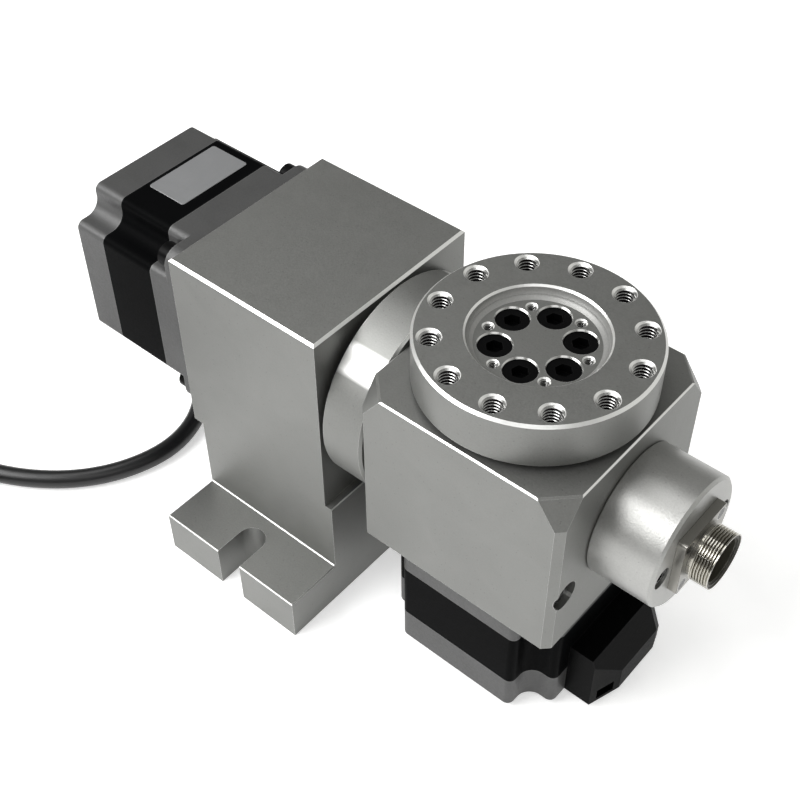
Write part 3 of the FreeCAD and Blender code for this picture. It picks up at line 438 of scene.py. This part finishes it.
NICKEL_SATIN = replace(
    NICKEL, name="nickel_satin", colour=(0.29, 0.282, 0.26, 1.0), roughness=0.3, metallic=0.9,
    gloss_spread=0.02, grain_depth=0.0000005, cloud=0.03, edge_radius=0.00025,
    edge_colour=(0.05, 0.048, 0.042, 1.0), edge_share=0.85,
)
INSULATOR = Finish("insert_plastic", (0.035, 0.033, 0.022, 1.0), roughness=0.5, grain_depth=0.00001)
CONTACT = Finish("contact_metal", (0.72, 0.58, 0.3, 1.0), roughness=0.2, metallic=1.0, grain_depth=0.000002)
JACKET = Finish(
    "cable_rubber", (0.004, 0.004, 0.0046, 1.0), roughness=0.36, grain_density=2500.0,
    grain_depth=0.000015, cloud=0.15,
)
FOIL = Finish(
    "label_foil", (0.215, 0.218, 0.223, 1.0), roughness=0.4, metallic=0.3, grain_density=1500.0,
    grain_depth=0.000008, cloud=0.05, edge_radius=0.0002, edge_share=0.3,
)
NYLON = Finish("tie_nylon", (0.03, 0.03, 0.032, 1.0), roughness=0.4, grain_depth=0.00001)
SLOT_FINISHES = {
    finish.name: finish
    for finish in (
        BLASTED, TURNED, CASTING, STATOR, BLACK_STEEL, GROUND_STEEL,
        PLASTIC, SEAL, NICKEL, INSULATOR, CONTACT, JACKET,
    )
}
NODE_FINISHES = {
    "connector_cap": CAP_FINISH,
    "head_screws": SCREW_STEEL,
    "cap_screws": SCREW_STEEL,
    "connector_screws": SCREW_STEEL,
}


@dataclass
class Shape:
    """Mesh under construction."""

    work: bmesh.types.BMesh = field(default_factory=bmesh.new)

    @classmethod
    def of(cls, node: Object) -> "Shape":
        """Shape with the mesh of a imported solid, as it is."""
        made = cls()
        made.work.from_mesh(node.data)
        return made

    def grid(self, rows: Sequence[Sequence[Vector]], looped: bool = False) -> None:
        """Adds a band of quads.

        Args:
            rows: rows of points, all of one length, each run round to its start.
            looped: whether the last row joins the first.
        """
        verts = [[self.work.verts.new(point) for point in row] for row in rows]
        pairs = list(zip(verts, verts[1:]))
        if looped:
            pairs.append((verts[-1], verts[0]))
        for low, high in pairs:
            for index in range(len(low)):
                after = (index + 1) % len(low)
                self.work.faces.new((low[index], low[after], high[after], high[index]))

    def cap(self, points: Sequence[Vector]) -> None:
        """Adds one flat face on new points."""
        self.work.faces.new([self.work.verts.new(point) for point in points])

    def bar(self, rows: Sequence[Sequence[Vector]]) -> None:
        """Adds a band of quads with a flat face on its first and last row."""
        self.grid(rows)
        self.cap(rows[0])
        self.cap(rows[-1])

    def piece(
        self, name: str, finish: Finish, place: Matrix | None = None, smooth: float = 35.0
    ) -> Object:
        """Closes the mesh and makes its object.

        Args:
            name: name of the piece.
            finish: its finish.
            place: where the mesh goes, if it isn't drawn in place.
            smooth: largest angle that is still shaded smooth, in degrees.

        Returns:
            The object, linked to the scene.
        """
        bmesh.ops.remove_doubles(self.work, verts=self.work.verts, dist=1e-7)
        bmesh.ops.recalc_face_normals(self.work, faces=self.work.faces)
        mesh = bpy.data.meshes.new(name)
        self.work.to_mesh(mesh)
        self.work.free()
        if place is not None:
            mesh.transform(place)
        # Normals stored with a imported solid's mesh no longer fit once its points have moved
        stored = mesh.attributes.get("custom_normal")
        if stored is not None:
            mesh.attributes.remove(stored)
        mesh.polygons.foreach_set("use_smooth", [True] * len(mesh.polygons))
        mesh.set_sharp_from_angle(angle=math.radians(smooth))
        made = bpy.data.objects.new(name, mesh)
        made.data.materials.append(finish.material())
        show(made)
        return made


def ring_row(radius: float | Callable[[float], float], along: float, segments: int) -> list[Vector]:
    """Ring of points round local Z.

    Args:
        radius: radius of the ring, or its radius at an angle in radians.
        along: height of the ring.
        segments: number of points.

    Returns:
        The points.
    """
    row = []
    for index in range(segments):
        angle = math.tau * index / segments
        reach = radius(angle) if callable(radius) else radius
        row.append(Vector((reach * math.cos(angle), reach * math.sin(angle), along)))
    return row


def on_circle(diameter: float, angle: float) -> Pair:
    """Place on a circle round the table's axis."""
    return TABLE_AXIS_X + diameter / 2 * math.cos(angle), diameter / 2 * math.sin(angle)


@dataclass
class Viewpoint:
    """Camera at the photograph's angle."""

    azimuth: float = 40.754
    elevation: float = 45.736
    roll: float = -0.501
    distance: float = 388.435 * MM
    offset: Pair = (42.063 * MM, -33.049 * MM)
    aim: Point = (-29.5 * MM, 0.0, TILT_AXIS_HEIGHT)
    focal_share: float = 1317.343 / 800.0
    sensor: float = 36.0

    def build(self) -> Object:
        """Adds the camera and makes it the scene's own."""
        turn = math.radians(self.azimuth)
        rise = math.radians(self.elevation)
        roll = math.radians(self.roll)
        back = Vector((math.sin(turn) * math.cos(rise), -math.cos(turn) * math.cos(rise), math.sin(rise)))
        level = Vector((math.cos(turn), math.sin(turn), 0.0))
        upright = back.cross(level)
        right = math.cos(roll) * level + math.sin(roll) * upright
        upward = math.cos(roll) * upright - math.sin(roll) * level
        data = bpy.data.cameras.new("viewpoint")
        data.sensor_fit = "HORIZONTAL"
        data.sensor_width = self.sensor
        data.lens = self.focal_share * self.sensor
        data.clip_start = 0.01
        data.clip_end = 50.0
        made = bpy.data.objects.new("viewpoint", data)
        eye = Vector(self.aim) + back * self.distance + right * self.offset[0] + upward * self.offset[1]
        made.matrix_world = Matrix.Translation(eye) @ Matrix((right, upward, back)).transposed().to_4x4()
        show(made)
        bpy.context.scene.camera = made
        return made


@dataclass(frozen=True)
class SoftBox:
    """Large soft lamp that faces the unit."""

    name: str
    toward: Point
    distance: float
    size: Pair
    power: float
    centre: Point = (20.0 * MM, 0.0, 60.0 * MM)

    def build(self) -> Object:
        """Adds the lamp."""
        data = bpy.data.lights.new(self.name, "AREA")
        data.shape = "RECTANGLE"
        data.size, data.size_y = self.size
        data.energy = self.power
        made = bpy.data.objects.new(self.name, data)
        direction = Vector(self.toward).normalized()
        made.location = Vector(self.centre) + direction * self.distance
        made.rotation_euler = direction.to_track_quat("Z", "Y").to_euler()
        show(made)
        return made


@dataclass
class Studio:
    """Pale floor, soft lamps and dim surroundings."""

    floor_half: float = 4.0
    floor_colour: Colour = (0.9, 0.9, 0.9, 1.0)
    floor_glow: float = 0.47
    ceiling: Colour = (0.3, 0.3, 0.29, 1.0)
    bright_side: Point = (0.8, 0.6, 0.0)
    bright_gain: float = 2.8
    lamps: tuple[SoftBox, ...] = (
        SoftBox("key_softbox", (-0.44, -0.58, 0.69), 0.9, (0.7, 0.68), 9.4),
        SoftBox("top_softbox", (-0.32, 0.06, 0.95), 1.0, (0.5, 0.5), 2.0),
        SoftBox("fill_softbox", (0.45, -0.52, 0.72), 0.9, (0.5, 0.5), 1.0),
    )

    def build(self) -> None:
        """Adds floor, lamps and surroundings."""
        bpy.context.scene.view_settings.view_transform = "Standard"
        self.add_floor()
        self.add_surroundings()
        for lamp in self.lamps:
            lamp.build()

    def add_floor(self) -> None:
        """Adds the floor, which shows white and keeps the unit's shadow."""
        half = self.floor_half
        shape = Shape()
        corners = ((-half, -half), (half, -half), (half, half), (-half, half))
        shape.cap([Vector((x, y, 0.0)) for x, y in corners])
        floor = shape.piece("studio_floor", Finish("studio_floor", self.floor_colour, roughness=0.9))
        tree = floor.data.materials[0].node_tree
        graph = Graph(tree)
        path = graph.node("ShaderNodeLightPath").outputs
        seen = graph.math("MAXIMUM", path["Is Camera Ray"], path["Is Glossy Ray"])
        glow = graph.math("MULTIPLY", seen, self.floor_glow)
        light = graph.node("ShaderNodeEmission", {"Strength": glow})
        surface = tree.nodes["Principled BSDF"]
        both = graph.node("ShaderNodeAddShader", {0: surface.outputs[0], 1: light.outputs[0]})
        graph.feed(tree.nodes["Material Output"].inputs["Surface"], both.outputs[0])

    def add_surroundings(self) -> None:
        """Adds an even pale sky, brighter at the right behind the unit."""
        world = bpy.data.worlds.new("studio")
        world.use_nodes = True
        bpy.context.scene.world = world
        graph = Graph(world.node_tree)
        ray = graph.node("ShaderNodeTexCoord").outputs["Generated"]
        facing = graph.vector("DOT_PRODUCT", ray, self.bright_side).outputs["Value"]
        level = graph.span(facing, 0.45, 0.9, 1.0, self.bright_gain)
        light = world.node_tree.nodes["Background"]
        graph.feed(light.inputs["Color"], self.ceiling)
        graph.feed(light.inputs["Strength"], level)


@dataclass
class Solids:
    """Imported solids, each dressed with the finish of its slot."""

    nodes: dict[str, Object]
    record: dict

    def dress_all(self) -> None:
        """Gives every solid its finish, with lines round its own axis where it has any."""
        for row in self.record["subparts"]:
            name = row["node"]
            finish = NODE_FINISHES.get(name, SLOT_FINISHES[row["material_slot"]])
            if finish.line_depth and name.startswith("table_"):
                finish = replace(
                    finish,
                    name=f"{finish.name}_upright",
                    line_centre=(TABLE_AXIS_X, 0.0, 0.0),
                    line_axis=UP,
                    chamfer_axis=UP if finish.chamfer_axis else None,
                )
            mesh = self.nodes[name].data
            mesh.materials.clear()
            mesh.materials.append(finish.material())
            mesh.polygons.foreach_set("material_index", [0] * len(mesh.polygons))
            LOG.info("dressed %s as %s", name, finish.name)


@dataclass(frozen=True)
class HoleCircle:
    """One circle of tapped holes in the table plate."""

    count: int
    diameter: float
    wall: float
    crest: float
    pitch: float
    depths: Pair


@dataclass
class HoleThreads:
    """Cut threads in the table plate's two hole circles."""

    circles: tuple[HoleCircle, ...] = (
        HoleCircle(12, 52.5 * MM, 2.52 * MM, 2.12 * MM, 1.0 * MM, (0.02 * MM, 12.6 * MM)),
        HoleCircle(6, 26.3 * MM, 1.27 * MM, 1.04 * MM, 0.5 * MM, (3.6 * MM, 10.6 * MM)),
    )
    # Corners of the ridge's section: lift as a share of the pitch, and share of the ridge's height
    section: tuple[Pair, ...] = ((0.46, 0.0), (0.2, 1.0), (-0.36, 1.0), (-0.48, 0.0))
    mouth_radius: float = 3.19 * MM
    segments: int = 28
    fade_steps: int = 6
    least_height: float = 0.05
    # Faces whose normal rises less than this get the painted shade
    lit_slope: float = 0.2

    def ridge(self, shape: Shape, circle: HoleCircle, centre: Pair) -> None:
        """Adds the ridge of one hole.

        Args:
            shape: mesh that the ridge goes into.
            circle: the circle that the hole is on.
            centre: place of the hole.
        """
        first, last = circle.depths
        steps = int(((last - first) / circle.pitch - 1) * self.segments)
        rows = []
        for index in range(steps + 1):
            angle = math.tau * index / self.segments
            middle = first + circle.pitch * (index / self.segments + 0.5)
            fade = min(1.0, index / self.fade_steps, (steps - index) / self.fade_steps)
            height = (circle.wall - circle.crest) * max(fade, self.least_height)
            row = []
            for lift, share in self.section:
                depth = middle - lift * circle.pitch
                radius = max(circle.wall, self.mouth_radius - depth) - share * height
                x = centre[0] + radius * math.cos(angle)
                y = centre[1] + radius * math.sin(angle)
                row.append(Vector((x, y, TABLE_TOP - depth)))
            rows.append(row)
        shape.bar(rows)

    def build(self) -> Object:
        """Adds all threads as one piece on the table, with painted shade on the faces that don't face up.
        """
        shape = Shape()
        for circle in self.circles:
            for index in range(circle.count):
                angle = TABLE_REST_TURN + math.tau * index / circle.count
                self.ridge(shape, circle, on_circle(circle.diameter, angle))
        made = shape.piece("table_hole_threads", CUT_THREAD)
        # Faces turned up keep the cut finish; the rest get painted shade
        made.data.materials.append(THREAD_PAINTED_SHADE.material())
        for face in made.data.polygons:
            face.material_index = int(face.normal.z <= self.lit_slope)
        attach(made, "table")
        return made


@dataclass
class ToolMarks:
    """Hollow curve in the table's recess, and fine turned grooves on the walls of its screw seats."""

    recess_radius: float = 17.6 * MM
    recess_depths: Pair = (0.53 * MM, 3.19 * MM)
    cove: float = 1.9 * MM
    cove_steps: int = 10
    cove_bend: float = 0.65
    cove_dive: float = 0.3
    cove_step: float = 0.12 * MM
    seat_radius: float = 4.5 * MM
    seat_circle: float = 20.8 * MM
    seat_turn: float = math.radians(30.0)
    seat_count: int = 6
    seat_depths: Pair = (3.21 * MM, 3.78 * MM)
    groove: float = 0.17 * MM
    pitch: float = 0.22 * MM
    segments: int = 96

    def lining(
        self, shape: Shape, centre: Pair, section: Sequence[Pair]
    ) -> None:
        """Adds the lining of one round wall.

        Args:
            shape: mesh that the lining goes into.
            centre: place of the wall's axis.
            section: radius and depth below the table's top at each corner of the lining's section.
        """
        place = Vector((*centre, TABLE_TOP))
        rows = []
        for reach, depth in section:
            rows.append([place + point for point in ring_row(reach, -depth, self.segments)])
        shape.grid(rows, looped=True)

    def cove_section(self) -> list[Pair]:
        """Section of the curve between the recess's wall and its floor, with a fine step."""
        high, low = self.recess_depths
        section = []
        for index in range(self.cove_steps + 1):
            part = index / self.cove_steps
            bend = (1 - self.cove_bend) * part + self.cove_bend * part**2
            dive = (1 + self.cove_dive) * part - self.cove_dive * part**2
            reach = self.recess_radius - HAIR - self.cove * bend
            section.append((reach, high + (low - high) * dive))
            if index == self.cove_steps // 2:
                section.append((reach - self.cove_step, section[-1][1]))
        behind = self.recess_radius + 2 * HAIR
        return [*section, (behind, low), (behind, high)]

    def seat_section(self) -> list[Pair]:
        """Section of the grooved lining of a screw seat."""
        high, low = self.seat_depths
        near = self.seat_radius - HAIR
        behind = self.seat_radius + 2 * HAIR
        count = round((low - high) / self.pitch)
        section = []
        for index in range(count):
            upper, lower = (high + (low - high) * part / count for part in (index, index + 1))
            section.extend([(near, upper), (near - self.groove, lower)])
        return [*section, (behind, low), (behind, high)]

    def add_cove(self) -> None:
        """Adds the recess's curve, in a lighter copy of the aluminium that stands in for painted light."""
        shape = Shape()
        self.lining(shape, (TABLE_AXIS_X, 0.0), self.cove_section())
        # Painted light: the curve is lighter than the rest of the table's aluminium
        made = shape.piece("table_recess_cove", COVE_PAINTED_LIGHT)
        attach(made, "table")

    def build(self) -> Object:
        """Adds the recess's curve, and all seat linings as one piece on the table."""
        self.add_cove()
        shape = Shape()
        for index in range(self.seat_count):
            angle = TABLE_REST_TURN + self.seat_turn + math.tau * index / self.seat_count
            self.lining(shape, on_circle(self.seat_circle, angle), self.seat_section())
        made = shape.piece("table_tool_marks", CUT_THREAD)
        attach(made, "table")
        return made


@dataclass
class PedestalBody:
    """Pedestal with the fine edges of the real one on feet and ledge, and a fine fillet at each foot."""

    node: Object
    side: float = 26.0 * MM
    front: float = 30.25 * MM
    reach: float = 48.75 * MM
    foot_top: float = 15.0 * MM
    ledge: float = 40.65 * MM
    edge_break: float = 0.7 * MM
    fine_break: float = 0.3 * MM
    fillet: float = 0.3 * MM
    sunk: float = 0.05 * MM

    def refine(self, vert: bmesh.types.BMVert) -> None:
        """Draws a vertex of a broken edge towards the corner that the edge was cut from."""
        near = self.edge_break + HAIR
        x, y, z = vert.co
        on_foot = abs(y) > self.front - HAIR and abs(z - self.foot_top) < near
        on_ledge = x > self.side - near and abs(z - self.ledge) < near
        if not (on_foot or on_ledge):
            return
        corner = Vector((
            math.copysign(self.side, x) if abs(x) > self.side - near else x,
            math.copysign(self.reach, y) if abs(y) > self.reach - near else y,
            self.foot_top if on_foot else self.ledge,
        ))
        vert.co = corner + (vert.co - corner) * self.fine_break / self.edge_break

    def build(self) -> Object:
        """Adds the pedestal in place of the one with wider edges."""
        shape = Shape.of(self.node)
        for vert in shape.work.verts:
            self.refine(vert)
        end = self.side - self.fine_break
        corners = (
            (self.front + self.fillet, self.foot_top),
            (self.front, self.foot_top + self.fillet),
            (self.front - self.sunk, self.foot_top - self.sunk),
        )
        for hand in (-1, 1):
            shape.bar([[Vector((x, hand * y, z)) for y, z in corners] for x in (-end, end)])
        made = shape.piece("pedestal_body", BLASTED, smooth=SOLID_SMOOTH)
        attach(made, "pedestal")
        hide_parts("pedestal")
        return made


@dataclass
class HeadHousing:
    """Head's housing with the fine top edges of the real one, and painted shade on the walls of its screw
    bores.
    """

    node: Object
    top: float = 98.0 * MM
    half: float = 31.2 * MM
    facet_start: float = 23.6 * MM
    edge_break: float = 0.7 * MM
    fine_break: float = 0.4 * MM
    screw_across: float = 25.7 * MM
    screw_height: float = 62.08 * MM
    bore_radius: float = 4.0 * MM
    bore_depth: float = 5.5 * MM

    def refine(self, vert: bmesh.types.BMVert) -> None:
        """Draws a vertex of a broken top edge towards the corner that the edge was cut from."""
        near = self.edge_break + HAIR
        x, y = vert.co.x - TABLE_AXIS_X, vert.co.y
        if vert.co.z < self.top - near or max(abs(x), abs(y)) < self.half - near:
            return
        across, along = self.half, self.facet_start
        if abs(x) <= abs(y):
            across, along = along, across
        corner = Vector((TABLE_AXIS_X + math.copysign(across, x), math.copysign(along, y), self.top))
        vert.co = corner + (vert.co - corner) * self.fine_break / self.edge_break

    def in_bore(self, face: bpy.types.MeshPolygon) -> bool:
        """Whether a face is on the wall of a screw bore."""
        x, y, z = face.center
        radius = math.hypot(abs(y) - self.screw_across, z - self.screw_height)
        inside = radius < self.bore_radius and x > HEAD_SIDE_X - self.bore_depth
        return inside and abs(face.normal.x) < LEVEL

    def build(self) -> Object:
        """Adds the housing in place of the one with wider edges."""
        shape = Shape.of(self.node)
        for vert in shape.work.verts:
            self.refine(vert)
        made = shape.piece("head_housing_body", BLASTED, smooth=SOLID_SMOOTH)
        # Walls of the screw bores get painted shade
        made.data.materials.append(BORE_PAINTED_SHADE.material())
        for face in made.data.polygons:
            face.material_index = int(self.in_bore(face))
        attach(made, "head")
        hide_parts("table_housing")
        return made


@dataclass
class LabelPlate:
    """Bare foil label on top of the tilt motor."""

    x_range: Pair = (-59.8 * MM, -45.7 * MM)
    y_range: Pair = (-10.0 * MM, 15.6 * MM)
    base: float = 100.2 * MM
    thickness: float = 0.18 * MM
    bevel: float = 0.05 * MM
    corner: float = 0.8 * MM
    corner_steps: int = 5

    def outline(self, inset: float, height: float) -> list[Vector]:
        """Rounded outline of the label at one height."""
        radius = self.corner - inset
        left, right = self.x_range[0] + self.corner, self.x_range[1] - self.corner
        near, far = self.y_range[0] + self.corner, self.y_range[1] - self.corner
        points = []
        for number, (x, y) in enumerate(((right, far), (left, far), (left, near), (right, near))):
            for step in range(self.corner_steps + 1):
                angle = math.pi / 2 * (number + step / self.corner_steps)
                points.append(Vector((x + radius * math.cos(angle), y + radius * math.sin(angle), height)))
        return points

    def build(self) -> Object:
        """Adds the label."""
        shape = Shape()
        top = self.base + self.thickness
        levels = ((0.0, self.base), (0.0, top - self.bevel), (self.bevel, top))
        shape.bar([self.outline(inset, height) for inset, height in levels])
        made = shape.piece("motor_label", FOIL)
        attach(made, "pedestal")
        return made


@dataclass
class Connector:
    """Round panel connector with a threaded barrel."""

    node: Object
    outer: float = 7.8 * MM
    root: float = 7.22 * MM
    # Cap, flange, and then where the thread starts and ends
    start: float = HEAD_SIDE_X + (18.4 + 2.5 + 1.2) * MM
    end: float = HEAD_SIDE_X + (18.4 + 2.5 + 6.3) * MM
    pitch: float = 0.75 * MM
    collar: float = 0.25 * MM
    rim: float = 0.35 * MM
    rim_slope: float = 0.1 * MM
    bore: float = 6.6 * MM
    mouth_depth: float = 0.3 * MM
    flange_gap: float = 0.6 * MM
    skin: float = 0.15 * MM
    segments: int = 72
    rows_per_turn: int = 10
    run_out_turns: float = 0.4
    flank_gain: float = 1.6

    def radius(self, angle: float, along: float) -> float:
        """Radius of the barrel at an angle and a place along it."""
        phase = (along / self.pitch - angle / math.tau) % 1.0
        wave = min(1.0, self.flank_gain * abs(2 * phase - 1))
        left = (self.end - self.collar - along) / (self.run_out_turns * self.pitch)
        run_in = min(1.0, max(0.0, (along - self.start) / self.pitch))
        run_out = min(1.0, max(0.0, left))
        depth = (self.outer - self.root) * min(run_in, run_out)
        return self.outer - depth * (1.0 - wave)

    def ring(self, along: float, reach: float | None = None) -> list[Vector]:
        """Ring of points round the connector's axis.

        Args:
            along: place along the axis.
            reach: radius of the ring, or none to follow the thread.

        Returns:
            The points.
        """
        row = ring_row(reach or (lambda angle: self.radius(angle, along)), along, self.segments)
        return [Vector((point.z, point.x, CAP_AXIS_HEIGHT + point.y)) for point in row]

    def is_plain(self, face: bmesh.types.BMFace) -> bool:
        """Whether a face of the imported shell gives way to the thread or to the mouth."""
        x, y, z = face.calc_center_median()
        reach = math.hypot(y, z - CAP_AXIS_HEIGHT)
        outside = reach > self.outer - self.skin and abs(face.normal.x) < LEVEL
        at_mouth = x > self.end - 2 * HAIR and face.normal.x > UPRIGHT
        return self.start - HAIR < x < self.end + HAIR and (outside or at_mouth)

    def build(self) -> Object:
        """Adds the shell with its thread in place of the plain one."""
        shape = Shape.of(self.node)
        plain = [face for face in shape.work.faces if self.is_plain(face)]
        bmesh.ops.delete(shape.work, geom=plain, context="FACES")
        for vert in shape.work.verts:
            if vert.co.x > self.end - 2 * HAIR:
                vert.co.x -= self.mouth_depth
        count = int((self.end - self.start) / self.pitch * self.rows_per_turn)
        rows = []
        for index in range(count + 1):
            rows.append(self.ring(self.start + (self.end - self.start) * index / count))
        lip = self.outer - self.rim
        floor = self.end - self.mouth_depth
        for along, reach in ((self.end, lip), (floor, lip - self.rim_slope), (floor, self.bore)):
            rows.append(self.ring(along, reach))
        shape.grid(rows)
        made = shape.piece("connector_threaded_shell", NICKEL)
        made.data.materials.append(NICKEL_SATIN.material())
        made.data.materials.append(INSULATOR.material())
        for face in made.data.polygons:
            x, y, z = face.center
            if x < self.start - self.flange_gap:
                face.material_index = 1
                face.use_smooth = False
            elif math.hypot(y, z - CAP_AXIS_HEIGHT) < lip - HAIR and x > self.end - 2 * self.mouth_depth:
                face.material_index = 2
        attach(made, "head")
        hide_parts("connector_shell")
        return made


@dataclass
class Lead:
    """Tilt motor's lead: from its outlet over the floor to a small tied coil and a plug.

    Places and profiles are in millimetres.
    """

    diameter: float = 6.0 * MM
    length: float = 0.61
    route: tuple[Point, ...] = (
        (-66.5, 5.5, 27.1), (-66.5, 5.5, 19.0), (-63.6, 0.9, 9.1), (-58.4, -7.3, 3.2),
        (-54.6, -22.5, 3.1), (-58.9, -38.9, 3.1), (-68.7, -53.0, 3.1), (-83.4, -64.2, 3.1),
        (-100.6, -71.4, 3.1),
    )
    tail: tuple[Point, ...] = (
        (-144.6, -84.2, 9.5), (-150.8, -95.9, 10.4), (-151.8, -108.0, 13.4), (-148.4, -117.6, 16.6),
        (-141.2, -124.8, 19.4), (-132.3, -128.0, 21.1), (-124.7, -128.0, 21.1),
    )
    coil_centre: Pair = (-118.2, -105.6)
    coil_outer: float = 34.1
    coil_inner: float = 27.9
    coil_turned: float = 750.0
    points_per_turn: int = 24
    lying: float = 3.1
    second_lift: float = 6.3
    tie_lift: float = 0.7
    tie_turns: Pair = (270.0, 630.0)
    tie_spread: float = 28.0
    tie_gap: float = 0.05 * MM
    tie_thickness: float = 0.55 * MM
    tie_half_width: float = 1.25 * MM
    tie_steps: int = 12
    lock_size: Point = (4.4, 4.6, 3.2)
    lock_lift: float = 1.2 * MM
    lock_bevel: float = 0.5 * MM
    boot_end: float = 12.05 * MM
    boot_and_shell: tuple[Pair, ...] = (
        (0.0, 3.2), (0.0, 4.4), (0.8, 5.0), (3.2, 5.0), (3.6, 4.6), (4.4, 4.6), (4.8, 5.0),
        (7.2, 5.0), (7.6, 4.6), (8.4, 4.6), (8.8, 5.0), (12.0, 5.0), (12.0, 6.2), (12.6, 6.8),
        (24.0, 8.0), (26.4, 8.0), (26.8, 7.4), (27.6, 7.4), (27.6, 8.1), (28.0, 8.5),
    )
    nut_mouth: tuple[Pair, ...] = (
        (37.2, 8.5), (37.6, 8.1), (38.0, 7.4), (38.0, 6.4), (31.0, 6.4), (31.0, 0.01),
    )
    nut_start: float = 28.0
    nut_length: float = 8.8
    nut_radius: float = 8.5
    nut_rows: int = 18
    knurl_depth: float = 0.35
    knurl_count: int = 18
    knurl_lean: float = 1.1
    plug_segments: int = 72

    def coil_place(self, turned: float) -> Pair:
        """Radius and height of the coil's line after a turn.

        Args:
            turned: angle since the lead met the coil, in degrees.

        Returns:
            Radius and height, in millimetres.
        """
        width = self.coil_outer - self.coil_inner
        if turned < 360:
            radius = self.coil_outer - width * turned / 360
        else:
            radius = self.coil_inner + width * min(1.0, max(0.0, (turned - 450) / 270))
        climb = min(1.0, max(0.0, (turned - 345) / 80))
        height = self.lying + self.second_lift * climb * climb * (3 - 2 * climb)
        from_tie = (turned + 270) % 360 - 180
        height += self.tie_lift * math.exp(-((from_tie / self.tie_spread) ** 2))
        return radius, height

    def coil(self) -> list[Point]:
        """Points of the coil's two turns, from where the lead meets it."""
        points = []
        step = 360 / self.points_per_turn
        for index in range(int(self.coil_turned / step) + 1):
            turned = index * step
            radius, height = self.coil_place(turned)
            angle = math.radians(90 + turned)
            x = self.coil_centre[0] + radius * math.cos(angle)
            y = self.coil_centre[1] + radius * math.sin(angle)
            points.append((x, y, height))
        return points

    def build_cord(self) -> Object:
        """Adds the lead as one smooth line."""
        data = bpy.data.curves.new("motor_lead", "CURVE")
        data.dimensions = "3D"
        data.bevel_depth = self.diameter / 2
        data.bevel_resolution = 6
        data.resolution_u = 6
        data.use_fill_caps = True
        points = [*self.route, *self.coil(), *self.tail]
        spline = data.splines.new("NURBS")
        spline.points.add(len(points) - 1)
        for knot, point in zip(spline.points, points):
            knot.co = (*(value * MM for value in point), 1.0)
        spline.order_u = 3
        spline.use_endpoint_u = True
        made = bpy.data.objects.new("motor_lead", data)
        data.materials.append(JACKET.material())
        show(made)
        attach(made, "pedestal")
        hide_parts("lead_cable", "lead_coil", "lead_tail")
        return made

    def build_plug(self) -> Object:
        """Adds the cable plug: rubber boot, back shell and knurled nut."""
        end = Vector(self.tail[-1]) * MM
        heading = (end - Vector(self.tail[-2]) * MM).normalized()
        place = Matrix.Translation(end) @ heading.to_track_quat("Z", "Y").to_matrix().to_4x4()
        profile: list[tuple[float, float | Callable[[float], float]]] = []
        profile.extend((along, reach * MM) for along, reach in self.boot_and_shell)
        for index in range(1, self.nut_rows + 1):
            along = self.nut_start + self.nut_length * index / self.nut_rows
            profile.append((along, lambda angle, along=along: self.knurl(angle, along)))
        profile.extend((along, reach * MM) for along, reach in self.nut_mouth)
        rows = [ring_row(reach, along * MM, self.plug_segments) for along, reach in profile]
        shape = Shape()
        shape.grid(rows)
        shape.cap(rows[0])
        made = shape.piece("lead_plug_body", NICKEL, place)
        made.data.materials.append(JACKET.material())
        back = place.inverted()
        for face in made.data.polygons:
            face.material_index = int((back @ face.center).z < self.boot_end)
        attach(made, "pedestal")
        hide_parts("lead_plug")
        return made

    def knurl(self, angle: float, along: float) -> float:
        """Radius of the nut's diamond knurl."""
        first = abs(math.sin(self.knurl_count * angle + self.knurl_lean * along))
        second = abs(math.sin(self.knurl_count * angle - self.knurl_lean * along))
        return (self.nut_radius - self.knurl_depth * (1.0 - min(first, second))) * MM

    def build_tie(self) -> Object:
        """Adds the tie that holds the coil, with its lock."""
        places = []
        for turned in self.tie_turns:
            radius, height = self.coil_place(turned)
            places.append(Vector((self.coil_centre[0] + radius, self.coil_centre[1], height)) * MM)
        low, high = places
        rise = math.atan2(high.z - low.z, high.x - low.x)
        flank = rise - math.pi / 2
        inner = self.diameter / 2 + self.tie_gap
        outer = inner + self.tie_thickness
        half_width = Vector((0.0, self.tie_half_width, 0.0))
        rows = []
        for middle, start in ((low, rise + math.pi / 2), (high, flank)):
            for step in range(self.tie_steps + 1):
                angle = start + math.pi * step / self.tie_steps
                away = Vector((math.cos(angle), 0.0, math.sin(angle)))
                near, far = middle + away * inner, middle + away * outer
                rows.append([near - half_width, far - half_width, far + half_width, near + half_width])
        shape = Shape()
        shape.grid(rows, looped=True)
        away = Vector((math.cos(flank), 0.0, math.sin(flank)))
        lock = bmesh.ops.create_cube(shape.work, size=1.0)["verts"]
        bmesh.ops.scale(shape.work, vec=Vector(self.lock_size) * MM, verts=lock)
        bmesh.ops.rotate(shape.work, matrix=Matrix.Rotation(-rise, 3, "Y"), verts=lock)
        bmesh.ops.translate(shape.work, vec=(low + high) / 2 + away * (outer + self.lock_lift), verts=lock)
        edges = list({edge for vert in lock for edge in vert.link_edges})
        bmesh.ops.bevel(shape.work, geom=edges, offset=self.lock_bevel, segments=2, affect="EDGES")
        made = shape.piece("coil_tie", NYLON)
        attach(made, "pedestal")
        return made

    def build(self) -> None:
        cord = self.build_cord()
        plug = self.build_plug()
        tie = self.build_tie()


def main() -> None:
    """Builds the unit's looks in order and reports each piece."""
    logging.basicConfig(level=logging.INFO, format="%(name)s: %(message)s")
    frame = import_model()
    nodes = frame["nodes"]
    Viewpoint().build()
    Studio().build()
    Solids(nodes, frame["record"]).dress_all()
    Lead().build()
    LOG.info("lead, plug and tie added")
    pedestal = PedestalBody(nodes["pedestal"])
    housing = HeadHousing(nodes["table_housing"])
    connector = Connector(nodes["connector_shell"])
    for part in (HoleThreads(), ToolMarks(), pedestal, housing, LabelPlate(), connector):
        LOG.info("added %s", part.build().name)


if __name__ == "__main__":
    main()
